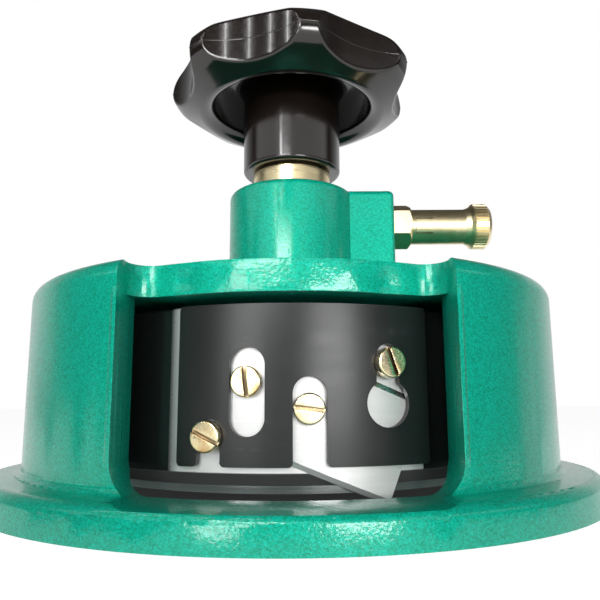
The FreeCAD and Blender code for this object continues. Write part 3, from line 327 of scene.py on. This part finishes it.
def seat(piece, body, material):
    """Give a piece its material and let it ride on a body."""
    piece.data.materials.clear()
    piece.data.materials.append(material)
    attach(piece, body)


def stand_in(piece, node, body, material):
    """Show a finished piece in the place of its CAD node."""
    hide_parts(node)
    seat(piece, body, material)


# Materials

# The milled cheeks of the window, and the widths over which their marks fade out
CHEEK_IN = 0.0335
CHEEK_OUT = 0.0353
CHEEK_LOW = 0.012
CHEEK_HIGH = 0.048
CHEEK_BACK = -0.030
SIDE_FADE = 0.0004
END_FADE = 0.002
BACK_FADE = 0.001


def milled_lines(finish):
    """Upright tool marks on the cheeks of the window, and nothing elsewhere."""
    x, y, z = finish.axes()
    side = finish.math("ABSOLUTE", x)
    marks = finish.noise(1.0, detail=3.0, vector=finish.mapped(scale=(90.0, 1500.0, 16.0)))
    return finish.product(
        finish.window(side, CHEEK_IN, CHEEK_IN + SIDE_FADE),
        finish.window(side, CHEEK_OUT + SIDE_FADE, CHEEK_OUT),
        finish.window(z, CHEEK_LOW, CHEEK_LOW + END_FADE),
        finish.window(z, CHEEK_HIGH, CHEEK_HIGH - END_FADE),
        finish.window(y, CHEEK_BACK, CHEEK_BACK - BACK_FADE),
        marks)


FLAKE_SHARE = 0.55


def green_enamel(paint):
    """Speckled metallic enamel under a gloss coat that ripples like the casting below it."""
    finish = Finish("green_enamel")
    shade, sheen, tilt = finish.cells(1.0 / paint.flake)
    cloud = finish.math("MULTIPLY", finish.noise(1400.0, detail=3.0), 1.0 - FLAKE_SHARE)
    mottled = finish.math("MULTIPLY_ADD", shade, FLAKE_SHARE, cloud)
    milled = finish.bump(milled_lines(finish), strength=0.7, distance=0.0006)
    wave = finish.bump(finish.noise(70.0, detail=1.0), strength=0.5, distance=paint.wave, under=milled)
    finish.feed(
        Base_Color=finish.ramp(mottled, [(0.15, paint.deep), (0.50, paint.colour), (0.85, paint.light)]),
        Roughness=finish.spread(sheen, 0.40, 0.60),
        Normal=finish.bump(tilt, strength=0.22, distance=0.00005, under=milled),
        Coat_Normal=finish.bump(finish.noise(1500.0), strength=0.6, distance=paint.peel, under=wave))
    finish.set(Metallic=0.30, Specular_IOR_Level=0.08, Coat_Weight=0.75, Coat_Roughness=0.12, Coat_IOR=1.5)
    return finish.material


ALONG_X = 0
ALONG_Z = 2
RING_PITCH = 900.0
RING_DRAG = 12.0
TARNISH = (0.80, 0.74, 0.62)


def turned_metal(name, colour, roughness, along):
    """A polished metal with the fine rings that a lathe leaves round one axis."""
    finish = Finish(name)
    stretch = [RING_PITCH if axis == along else RING_DRAG for axis in range(3)]
    rings = finish.noise(1.0, detail=3.0, vector=finish.mapped(scale=stretch))
    dulled = finish.window(finish.noise(140.0, detail=4.0), 0.52, 0.85)
    dull = [channel * share for channel, share in zip(colour, TARNISH)]
    finish.feed(
        Base_Color=finish.blend(dulled, colour, dull),
        Roughness=finish.spread(rings, roughness * 0.7, roughness * 1.5),
        Normal=finish.bump(rings, strength=0.05, distance=0.0001))
    finish.set(Metallic=1.0)
    return finish.material


GRAIN_SHADE = 0.82


def ground_grain(finish, colour, turn):
    """The fine straight lines that grinding leaves, and the steel's colour with them in it."""
    lines = finish.mapped(scale=(60.0, 60.0, 2600.0), turn=(0.0, turn, 0.0))
    grain = finish.noise(1.0, detail=4.0, vector=lines)
    return grain, finish.blend(grain, colour, [channel * GRAIN_SHADE for channel in colour])


def spring_steel():
    """Grey spring wire with a faint grain."""
    finish = Finish("spring_steel")
    grain, colour = ground_grain(finish, (0.42, 0.42, 0.43), turn=0.0)
    finish.feed(
        Base_Color=colour,
        Roughness=finish.spread(finish.noise(90.0), 0.24, 0.42),
        Normal=finish.bump(grain, strength=0.06, distance=0.00005))
    finish.set(Metallic=1.0)
    return finish.material


# The blade as it lies on its station: lean, middle across and up, half its width, its bevel
BLADE_TILT = math.radians(22.2)
BLADE_ACROSS = 0.0039
BLADE_HEIGHT = 0.02261
BLADE_HALF_WIDTH = 0.01145
BLADE_BEVEL = 0.0011
BEVEL_FADE = 0.00003
# Painted shade: the bevels' steel is made darker, standing in for the light their facets turn away
PAINTED_BEVEL_SHADE = (0.46, 0.48, 0.47)
GRIND_TURN = 0.39
HALF_STATION = math.pi / STATIONS


def station_turn(finish, x, y):
    """The angle round the drum from the middle of the nearest blade station."""
    turn = finish.math("ARCTAN2", x, finish.math("MULTIPLY", y, -1.0))
    return finish.math("WRAP", turn, HALF_STATION, -HALF_STATION)


def blade_bevel(finish):
    """1 on the ground bevels along both long edges of the blades, and 0 between them."""
    x, y, z = finish.axes()
    across = finish.math("MULTIPLY", finish.math("SINE", station_turn(finish, x, y)), finish.reach(x, y))
    along = finish.math("MULTIPLY", finish.math("SUBTRACT", across, BLADE_ACROSS), math.sin(BLADE_TILT))
    up = finish.math("MULTIPLY_ADD", finish.math("SUBTRACT", z, BLADE_HEIGHT), math.cos(BLADE_TILT), along)
    edge = BLADE_HALF_WIDTH - BLADE_BEVEL
    return finish.window(finish.math("ABSOLUTE", up), edge - BEVEL_FADE, edge + BEVEL_FADE)


def blade_steel(steel):
    """Bright blade steel with a ground grain, and smoother bevels along both long edges whose darker colour
    is painted shade.
    """
    finish = Finish("blade_steel")
    bevel = blade_bevel(finish)
    grain, flat = ground_grain(finish, steel, GRIND_TURN)
    rough = finish.spread(finish.noise(90.0), 0.34, 0.58)
    finish.feed(
        Base_Color=finish.blend(bevel, flat, PAINTED_BEVEL_SHADE),
        Metallic=finish.math("MULTIPLY_ADD", bevel, 0.4, 0.6),
        Roughness=finish.math("MULTIPLY_ADD", bevel, -0.16, rough),
        Normal=finish.bump(grain, strength=0.06, distance=0.00005))
    return finish.material


WORN_OXIDE = (0.05, 0.052, 0.055)


def black_plate(black):
    """Satin black oxide with faint wear and rubbed marks."""
    finish = Finish("black_plate")
    rub = finish.noise(1.0, detail=4.0, vector=finish.mapped(scale=(70.0, 70.0, 420.0)))
    spots = finish.noise(520.0)
    worn = finish.product(finish.window(rub, 0.60, 0.80), finish.window(spots, 0.45, 0.75))
    finish.feed(
        Base_Color=finish.blend(worn, black.oxide, WORN_OXIDE),
        Roughness=finish.spread(rub, 0.26, 0.36),
        Normal=finish.bump(spots, strength=0.05, distance=0.0001))
    finish.set(Metallic=0.0, Specular_IOR_Level=0.38)
    return finish.material


# Where the drum is bare: each pair runs from black to bare, as angles, heights and radius
SEAT_LEFT = (-0.482, -0.432)
SEAT_RIGHT = (0.552, 0.548)
SEAT_LOW = (0.0100, 0.0102)
SEAT_OUTSIDE = (0.0555, 0.0557)
FOOT_TOP = (0.0101, 0.0099)
FOOT_COLOUR = (0.27, 0.27, 0.275)


def black_drum(black, steel):
    """Black oxide, rubbed bright on the four seats that the blades lie on and bare at the foot."""
    finish = Finish("black_drum")
    x, y, z = finish.axes()
    turn = station_turn(finish, x, y)
    bright = finish.product(
        finish.window(turn, *SEAT_LEFT),
        finish.window(turn, *SEAT_RIGHT),
        finish.window(z, *SEAT_LOW),
        finish.window(finish.reach(x, y), *SEAT_OUTSIDE))
    foot = finish.window(z, *FOOT_TOP)
    grain = finish.noise(1.0, detail=3.0, vector=finish.mapped(scale=(40.0, 40.0, 1500.0)))
    dark = finish.blend(foot, black.oxide, FOOT_COLOUR)
    bare_seat = finish.math("MULTIPLY", bright, 0.55)
    bare_foot = finish.math("MULTIPLY", foot, 0.85)
    finish.feed(
        Base_Color=finish.blend(bright, dark, steel),
        Metallic=finish.math("MAXIMUM", bare_seat, bare_foot),
        Roughness=finish.math("MULTIPLY_ADD", bright, 0.30, finish.spread(grain, 0.12, 0.26)),
        Normal=finish.bump(grain, strength=0.06, distance=0.00008))
    return finish.material


COPPERY = (0.62, 0.40, 0.17)
PALE_ZINC = (0.90, 0.80, 0.56)
# Painted shade: a dark brown laid wherever ambient occlusion finds the slots and hollows closed in
PAINTED_SLOT_SHADE = (0.10, 0.06, 0.025)
PAINTED_SHADE_REACH = 0.0012


def yellow_zinc(zinc):
    """Yellow chromate on the screws, with its coppery clouds, and painted shade laid dark brown into the
    slots and hollows.
    """
    finish = Finish("yellow_zinc")
    cloud = finish.noise(260.0, detail=3.0)
    tint = finish.ramp(cloud, [(0.30, COPPERY), (0.50, zinc), (0.72, PALE_ZINC)])
    # Ambient occlusion finds the slots and hollows, where shade is painted into the colour
    open_air = finish.tree.nodes.new("ShaderNodeAmbientOcclusion")
    open_air.inputs["Distance"].default_value = PAINTED_SHADE_REACH
    painted_shade = finish.window(open_air.outputs["AO"], 0.80, 0.45)
    grain = finish.noise(1800.0)
    finish.feed(
        Base_Color=finish.blend(painted_shade, tint, PAINTED_SLOT_SHADE),
        Roughness=finish.spread(grain, 0.16, 0.34),
        Normal=finish.bump(grain, strength=0.10, distance=0.00005))
    finish.set(Metallic=1.0)
    return finish.material


WARMTH = (2.6, 2.0, 1.7)


def black_moulding(black):
    """Glossy black moulding with a warm cast and a soft ripple."""
    finish = Finish("black_moulding")
    warm = [channel * share for channel, share in zip(black.moulding, WARMTH)]
    finish.feed(
        Base_Color=finish.blend(finish.noise(60.0, detail=3.0), black.moulding, warm),
        Roughness=finish.spread(finish.noise(700.0), 0.10, 0.22),
        Normal=finish.bump(finish.noise(240.0), strength=0.06, distance=0.0003))
    finish.set(Specular_IOR_Level=0.6, Coat_Weight=0.3, Coat_Roughness=0.06)
    return finish.material


def black_steel():
    """Dull black fasteners with grey clouds."""
    finish = Finish("black_steel")
    cloud = finish.noise(600.0, detail=3.0)
    finish.feed(
        Base_Color=finish.blend(cloud, (0.015, 0.015, 0.017), (0.05, 0.05, 0.055)),
        Roughness=finish.spread(cloud, 0.30, 0.48))
    finish.set(Metallic=0.6)
    return finish.material


# Operators: one for each group of like pieces

# Hand-dressed hollows in the lintel: place across, place up, depth, reach
HOLLOWS = (
    (-0.0225, 0.0505, 0.0007, 0.0070),
    (-0.0110, 0.0520, -0.0003, 0.0050),
    (0.0130, 0.0515, -0.0003, 0.0045),
    (0.0215, 0.0495, 0.0009, 0.0065),
)
HOLLOW_CORE = 0.22
LINTEL_RADIUS = 0.061
LINTEL_SKIN = 0.00012
LINTEL_LOW = 0.0472
LINTEL_HIGH = 0.0546
LINTEL_CUTS = 5


def on_lintel(point):
    """Tell whether a point lies on the round front of the lintel."""
    reach = math.hypot(point.x, point.y)
    level = LINTEL_LOW < point.z < LINTEL_HIGH
    return level and point.y < 0.0 and abs(reach - LINTEL_RADIUS) < LINTEL_SKIN


def dress_lintel(piece):
    """Press the shallow hollows of the hand-dressed casting into the lintel."""
    pick(piece, on_lintel)
    bpy.ops.mesh.select_mode(type="FACE")
    bpy.ops.mesh.subdivide(number_cuts=LINTEL_CUTS)
    bpy.ops.object.mode_set(mode="OBJECT")
    for across, up, depth, reach in HOLLOWS:
        front = math.sqrt(LINTEL_RADIUS ** 2 - across ** 2)
        centre = Vector((across, -front, up))
        pick(piece, lambda point: on_lintel(point) and (point - centre).length < reach * HOLLOW_CORE)
        inward = Vector((-across, front, 0.0)).normalized() * depth
        bpy.ops.transform.translate(
            value=inward, use_proportional_edit=True, use_proportional_connected=True,
            proportional_edit_falloff="SHARP", proportional_size=reach)
        bpy.ops.object.mode_set(mode="OBJECT")


RIM_RADIUS = 0.0834
RIM_ROUND = 0.0026
RIM_MARGIN = 0.0001
RIM_LEVEL = 0.004
RIM_TOP = 0.010
RIM_DRAFT = 0.991


def draft_rim(piece):
    """Lean the flange's rim inwards towards its top, as a casting leaves its mould."""
    inner = RIM_RADIUS - RIM_ROUND - RIM_MARGIN
    pick(piece, lambda point: RIM_LEVEL < point.z < RIM_TOP and math.hypot(point.x, point.y) > inner)
    bpy.ops.transform.resize(value=(RIM_DRAFT, RIM_DRAFT, 1.0), center_override=(0.0, 0.0, 0.0))
    bpy.ops.object.mode_set(mode="OBJECT")


CASTING_SEGMENTS = 3


class CUTTER_OT_housing(bpy.types.Operator):
    """Dress the housing casting, soften its edges and paint it in speckled green enamel"""
    bl_idname = "cutter.housing"
    bl_label = "Housing casting"

    def execute(self, context):
        paint = context.scene.cutter_paint
        piece = joined_copy("housing", "housing_casting")
        dress_lintel(piece)
        draft_rim(piece)
        round_edges(piece, paint.edge, CASTING_SEGMENTS)
        stand_in(piece, "housing", "housing", green_enamel(paint))
        return {"FINISHED"}


class CUTTER_OT_drum(bpy.types.Operator):
    """Blacken the blade drum and leave its blade seats bright"""
    bl_idname = "cutter.drum"
    bl_label = "Blade drum"

    def execute(self, context):
        scene = context.scene
        give(["blade_drum"], black_drum(scene.cutter_black, scene.cutter_metal.steel))
        return {"FINISHED"}


class CUTTER_OT_plates(bpy.types.Operator):
    """Blacken the four clamp plates"""
    bl_idname = "cutter.plates"
    bl_label = "Clamp plates"

    def execute(self, context):
        give(numbered("clamp_plate"), black_plate(context.scene.cutter_black))
        return {"FINISHED"}


class CUTTER_OT_blades(bpy.types.Operator):
    """Grind the four blades bright"""
    bl_idname = "cutter.blades"
    bl_label = "Blades"

    def execute(self, context):
        give(numbered("blade"), blade_steel(context.scene.cutter_metal.steel))
        return {"FINISHED"}


SCREW_EASE = 0.00018
SCREW_SEGMENTS = 2


class CUTTER_OT_screws(bpy.types.Operator):
    """Plate the sixteen slotted screws in yellow zinc"""
    bl_idname = "cutter.screws"
    bl_label = "Screws"

    def execute(self, context):
        finish = yellow_zinc(context.scene.cutter_metal.zinc)
        for node in numbered("clamp_screws", "blade_screws"):
            piece = joined_copy(node, f"{node}_eased")
            round_edges(piece, SCREW_EASE, SCREW_SEGMENTS)
            stand_in(piece, node, "rotor", finish)
        return {"FINISHED"}


BRONZE = (0.62, 0.40, 0.20)


class CUTTER_OT_brass(bpy.types.Operator):
    """Polish the thrust collar, the catch, the hub insert and the guide bush as turned metal"""
    bl_idname = "cutter.brass"
    bl_label = "Brass and bronze pieces"

    def execute(self, context):
        brass = context.scene.cutter_metal.brass
        give(["thrust_collar", "hub_insert"], turned_metal("brass_upright", brass, 0.26, ALONG_Z))
        give(["catch_sleeve", "catch_knob"], turned_metal("brass", brass, 0.30, ALONG_X))
        give(["guide_bush"], turned_metal("bronze", BRONZE, 0.30, ALONG_Z))
        return {"FINISHED"}


MOULD_LINE_HEIGHT = 0.124
MOULD_LINE_HALF = 0.00018
MOULD_LINE_SWELL = 1.0042
RIM_LEAST_RADIUS = 0.030


def slice_level(height, **sides):
    """Cut the piece that is open for editing at a height, and clear the named side."""
    bpy.ops.mesh.select_all(action="SELECT")
    bpy.ops.mesh.bisect(plane_co=(0.0, 0.0, height), plane_no=(0.0, 0.0, 1.0), **sides)


def mould_line():
    """The fine ridge where the halves of the mould met, round the rim and through its scallops."""
    piece = joined_copy("handwheel", "handwheel_mould_line")
    bpy.ops.object.mode_set(mode="EDIT")
    slice_level(MOULD_LINE_HEIGHT - MOULD_LINE_HALF, clear_inner=True)
    slice_level(MOULD_LINE_HEIGHT + MOULD_LINE_HALF, clear_outer=True)
    bpy.ops.object.mode_set(mode="OBJECT")
    pick(piece, lambda point: math.hypot(point.x, point.y) < RIM_LEAST_RADIUS)
    bpy.ops.mesh.delete(type="VERT")
    slice_level(MOULD_LINE_HEIGHT)
    swell = (MOULD_LINE_SWELL, MOULD_LINE_SWELL, 1.0)
    bpy.ops.transform.resize(value=swell, center_override=(0.0, 0.0, MOULD_LINE_HEIGHT))
    bpy.ops.object.mode_set(mode="OBJECT")
    return piece


class CUTTER_OT_handwheel(bpy.types.Operator):
    """Give the handwheel its glossy black moulding and its mould line"""
    bl_idname = "cutter.handwheel"
    bl_label = "Handwheel"

    def execute(self, context):
        finish = black_moulding(context.scene.cutter_black)
        give(["handwheel"], finish)
        seat(mould_line(), "rotor", finish)
        return {"FINISHED"}


class CUTTER_OT_steel(bpy.types.Operator):
    """Finish the spindle, pins and washers in turned steel and the bolt and set screw in black"""
    bl_idname = "cutter.steel"
    bl_label = "Steel pieces"

    def execute(self, context):
        steel = context.scene.cutter_metal.steel
        give(["spindle", "spring_washer", "drum_key", "drum_washer", "catch_pin", "catch_roll_pin"],
             turned_metal("plain_steel", steel, 0.26, ALONG_Z))
        give(["drum_bolt", "hub_set_screw"], black_steel())
        return {"FINISHED"}


class CUTTER_OT_springs(bpy.types.Operator):
    """Finish the return spring and the catch spring in spring steel, each on a mesh of its own"""
    bl_idname = "cutter.springs"
    bl_label = "Springs"

    def execute(self, context):
        wire = spring_steel()
        return_coil = joined_copy("return_spring", "return_spring_coil")
        stand_in(return_coil, "return_spring", "housing", wire)
        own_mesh(return_coil)
        catch_coil = joined_copy("catch_spring", "catch_spring_coil")
        stand_in(catch_coil, "catch_spring", "housing", wire)
        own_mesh(catch_coil)
        return {"FINISHED"}


# Stage

FOCAL_PIXELS = 616.348
FRAME_PIXELS = 600.0
SENSOR = 36.0
CAMERA_PLACE = (0.003316, -0.186681, 0.024435)
CAMERA_PITCH = math.radians(9.460)
CAMERA_ROLL = math.radians(-0.265)
CAMERA_YAW = math.radians(-0.280)
CLIP_NEAR = 0.005
CLIP_FAR = 50.0


def add_camera(scene):
    """Stand the camera in front of the window, low and tilted up."""
    data = bpy.data.cameras.new("camera")
    data.sensor_width = SENSOR
    data.lens = FOCAL_PIXELS / FRAME_PIXELS * SENSOR
    data.clip_start = CLIP_NEAR
    data.clip_end = CLIP_FAR
    forward = Vector((math.sin(CAMERA_YAW) * math.cos(CAMERA_PITCH),
                      math.cos(CAMERA_YAW) * math.cos(CAMERA_PITCH), math.sin(CAMERA_PITCH)))
    right = Vector((math.cos(CAMERA_YAW), -math.sin(CAMERA_YAW), 0.0))
    up = right.cross(forward)
    cosine, sine = math.cos(CAMERA_ROLL), math.sin(CAMERA_ROLL)
    right, up = right * cosine + up * sine, up * cosine - right * sine
    turn = Matrix((right, up, -forward)).transposed()
    camera = bpy.data.objects.new("camera", data)
    camera.matrix_world = Matrix.Translation(CAMERA_PLACE) @ turn.to_4x4()
    scene.collection.objects.link(camera)
    scene.camera = camera


# Each lamp: turn from the camera's side, rise, distance, width, height, share of brightness, beam, aim
LOW_AIM = Vector((0.0, -0.05, 0.03))
HIGH_AIM = Vector((0.0, -0.03, 0.080))
LAMPS = {
    "left_lamp": (-24.0, 5.0, 0.60, 0.17, 0.11, 0.75, 180.0, LOW_AIM),
    "right_lamp": (22.0, 5.0, 0.60, 0.23, 0.13, 1.25, 180.0, LOW_AIM),
    "key_lamp": (-14.0, 16.0, 0.40, 0.22, 0.12, 0.030, 26.0, HIGH_AIM),
    "tube_1": (-16.0, 38.0, 0.60, 0.014, 0.15, 1.4, 180.0, HIGH_AIM),
    "tube_2": (-37.0, 38.0, 0.60, 0.012, 0.15, 1.4, 180.0, HIGH_AIM),
    "tube_3": (-57.0, 38.0, 0.60, 0.012, 0.15, 1.4, 180.0, HIGH_AIM),
    "tube_4": (-75.0, 38.0, 0.60, 0.012, 0.15, 1.4, 180.0, HIGH_AIM),
    "slit_1": (-25.0, 20.0, 0.60, 0.024, 0.15, 2.2, 180.0, HIGH_AIM),
    "slit_2": (-5.0, 17.0, 0.60, 0.020, 0.10, 2.2, 180.0, HIGH_AIM),
}


def add_lamp(scene, name, brightness):
    """Hang one flat lamp that faces its aim."""
    turn, rise, distance, width, height, share, beam, aim = LAMPS[name]
    turn, rise = math.radians(turn), math.radians(rise)
    toward = Vector((math.sin(turn) * math.cos(rise), -math.cos(turn) * math.cos(rise), math.sin(rise)))
    data = bpy.data.lights.new(name, "AREA")
    data.shape = "RECTANGLE"
    data.size = width
    data.size_y = height
    data.energy = math.pi * width * height * brightness * share
    data.spread = math.radians(beam)
    light = bpy.data.objects.new(name, data)
    light.location = aim + toward * distance
    light.rotation_euler = (-toward).to_track_quat("-Z", "Y").to_euler()
    scene.collection.objects.link(light)


EYE_RAYS = ("Is Camera Ray", "Is Transmission Ray")
FLOOR_RAYS = (*EYE_RAYS, "Is Glossy Ray")
WHITE = (1.0, 1.0, 1.0, 1.0)


def mixed(tree, factor, first, second):
    """The first shader where the factor is 0, and the second where it is 1."""
    mix = tree.nodes.new("ShaderNodeMixShader")
    tree.links.new(factor, mix.inputs["Fac"])
    tree.links.new(first, mix.inputs[1])
    tree.links.new(second, mix.inputs[2])
    return mix.outputs["Shader"]


def split_by_ray(tree, rays, other, seen):
    """One shader as it is seen by the named rays, and the other one for all other light."""
    path = tree.nodes.new("ShaderNodeLightPath")
    chosen = path.outputs[rays[0]]
    for name in rays[1:]:
        chosen = calculate(tree, "MAXIMUM", chosen, path.outputs[name])
    return mixed(tree, chosen, other, seen)


def white_light(tree):
    node = tree.nodes.new("ShaderNodeBackground")
    node.inputs["Color"].default_value = WHITE
    return node


# Where the studio is lit: each pair runs from dark to bright, as the Y or Z part of a direction
BOARD_DEPTH = (0.20, 0.70)
BOARD_RISE = (0.60, 0.30)
BAND_DEPTH = (0.10, -0.10)
BAND_FOOT = (0.30, 0.36)
BAND_HEAD = (0.52, 0.44)


def add_world(scene, room, backdrop, band):
    """White to the eye. Its light is bright from the backdrop behind and dim from the room in front."""
    world = bpy.data.worlds.new("studio")
    world.use_nodes = True
    tree = world.node_tree
    tree.nodes.clear()
    output = tree.nodes.new("ShaderNodeOutputWorld")
    coordinates = tree.nodes.new("ShaderNodeTexCoord")
    axes = tree.nodes.new("ShaderNodeSeparateXYZ")
    tree.links.new(coordinates.outputs["Generated"], axes.inputs["Vector"])
    depth, rise = axes.outputs["Y"], axes.outputs["Z"]
    behind = range_of(tree, depth, *BOARD_DEPTH, 0.0, backdrop)
    board = calculate(tree, "MULTIPLY", behind, range_of(tree, rise, *BOARD_RISE, 0.0, 1.0))
    above_foot = range_of(tree, rise, *BAND_FOOT, 0.0, 1.0)
    below_head = range_of(tree, rise, *BAND_HEAD, 0.0, 1.0)
    strip = calculate(tree, "MULTIPLY", above_foot, below_head)
    strip = calculate(tree, "MULTIPLY", strip, range_of(tree, depth, *BAND_DEPTH, 0.0, band))
    level = calculate(tree, "ADD", calculate(tree, "ADD", board, strip), room)
    dim = white_light(tree)
    tree.links.new(level, dim.inputs["Strength"])
    seen = white_light(tree)
    shader = split_by_ray(tree, EYE_RAYS, dim.outputs["Background"], seen.outputs["Background"])
    tree.links.new(shader, output.inputs["Surface"])
    scene.world = world


# A painted shadow under the housing: within this reach of the axis the floor's glow fades to dark
SHADE_REACH = 0.074
SHADE_FADE = 0.012
SHADE_GLOW = 0.02
FLOOR_GLOW = 0.92
FLOOR_LEVEL = -0.0002
FLOOR_GREY = (0.45, 0.45, 0.45, 1.0)
SHADOW_GREY = (0.26, 0.26, 0.26, 1.0)


def glowing_floor(tree):
    """The floor as the eye sees it: it glows white, takes soft shadows, and has a painted shadow that
    darkens it under the housing.
    """
    coordinates = tree.nodes.new("ShaderNodeTexCoord")
    reach = tree.nodes.new("ShaderNodeVectorMath")
    reach.operation = "LENGTH"
    tree.links.new(coordinates.outputs["Object"], reach.inputs[0])
    inner = SHADE_REACH - SHADE_FADE
    # The painted shadow: the glow is dim under the housing and full outside it
    shade = range_of(tree, reach.outputs["Value"], inner, SHADE_REACH, SHADE_GLOW, FLOOR_GLOW)
    glow = tree.nodes.new("ShaderNodeEmission")
    tree.links.new(shade, glow.inputs["Strength"])
    soft = tree.nodes.new("ShaderNodeBsdfDiffuse")
    soft.inputs["Color"].default_value = SHADOW_GREY
    both = tree.nodes.new("ShaderNodeAddShader")
    tree.links.new(glow.outputs["Emission"], both.inputs[0])
    tree.links.new(soft.outputs["BSDF"], both.inputs[1])
    return both.outputs["Shader"]


def pale_floor():
    """White to the eye from above, clear from below, and a grey gloss to all other light."""
    material = bpy.data.materials.new("pale_floor")
    material.use_nodes = True
    tree = material.node_tree
    tree.nodes.clear()
    output = tree.nodes.new("ShaderNodeOutputMaterial")
    gloss = tree.nodes.new("ShaderNodeBsdfPrincipled")
    gloss.inputs["Base Color"].default_value = FLOOR_GREY
    gloss.inputs["Roughness"].default_value = 0.05
    gloss.inputs["IOR"].default_value = 1.8
    above = split_by_ray(tree, FLOOR_RAYS, gloss.outputs["BSDF"], glowing_floor(tree))
    facing = tree.nodes.new("ShaderNodeNewGeometry")
    clear = tree.nodes.new("ShaderNodeBsdfTransparent")
    shader = mixed(tree, facing.outputs["Backfacing"], above, clear.outputs["BSDF"])
    tree.links.new(shader, output.inputs["Surface"])
    return material


def add_floor(size):
    """Lay a pale floor just below the cutter."""
    bpy.ops.object.select_all(action="DESELECT")
    bpy.ops.mesh.primitive_plane_add(size=size, location=(0.0, 0.0, FLOOR_LEVEL))
    floor = bpy.context.object
    floor.name = "floor"
    floor.data.materials.append(pale_floor())


class CUTTER_OT_stage(bpy.types.Operator):
    """Set the floor, the soft lights and the camera"""
    bl_idname = "cutter.stage"
    bl_label = "Stage"

    def execute(self, context):
        scene = context.scene
        stage = scene.cutter_stage
        scene.view_settings.view_transform = "Standard"
        add_world(scene, stage.room, stage.backdrop, stage.band)
        add_floor(stage.floor_size)
        add_camera(scene)
        for name in LAMPS:
            add_lamp(scene, name, stage.lamp)
        return {"FINISHED"}


# Panel and registration

STEPS = (
    CUTTER_OT_housing, CUTTER_OT_drum, CUTTER_OT_plates, CUTTER_OT_blades, CUTTER_OT_screws,
    CUTTER_OT_brass, CUTTER_OT_handwheel, CUTTER_OT_steel, CUTTER_OT_springs, CUTTER_OT_stage,
)
SETTINGS = {
    "cutter_paint": PaintSettings,
    "cutter_metal": MetalSettings,
    "cutter_black": BlackSettings,
    "cutter_stage": StageSettings,
}


class CUTTER_PT_panel(bpy.types.Panel):
    """Lists the finishing steps and their settings"""
    bl_idname = "CUTTER_PT_panel"
    bl_label = "Sample Cutter"
    bl_space_type = "VIEW_3D"
    bl_region_type = "UI"
    bl_category = "Sample Cutter"

    def draw(self, context):
        for step in STEPS:
            self.layout.operator(step.bl_idname)
        for name in SETTINGS:
            box = self.layout.box()
            settings = getattr(context.scene, name)
            for key in settings.bl_rna.properties.keys():
                if key not in {"rna_type", "name"}:
                    box.prop(settings, key)


def register():
    for group in SETTINGS.values():
        bpy.utils.register_class(group)
    for step in (*STEPS, CUTTER_PT_panel):
        bpy.utils.register_class(step)
    for name, group in SETTINGS.items():
        setattr(bpy.types.Scene, name, PointerProperty(type=group))


def unregister():
    for name in SETTINGS:
        delattr(bpy.types.Scene, name)
    for step in (CUTTER_PT_panel, *reversed(STEPS)):
        bpy.utils.unregister_class(step)
    for group in reversed(list(SETTINGS.values())):
        bpy.utils.unregister_class(group)


def main():
    register()
    for step in STEPS:
        group, name = step.bl_idname.split(".")
        getattr(getattr(bpy.ops, group), name)()


if __name__ == "__main__":
    main()
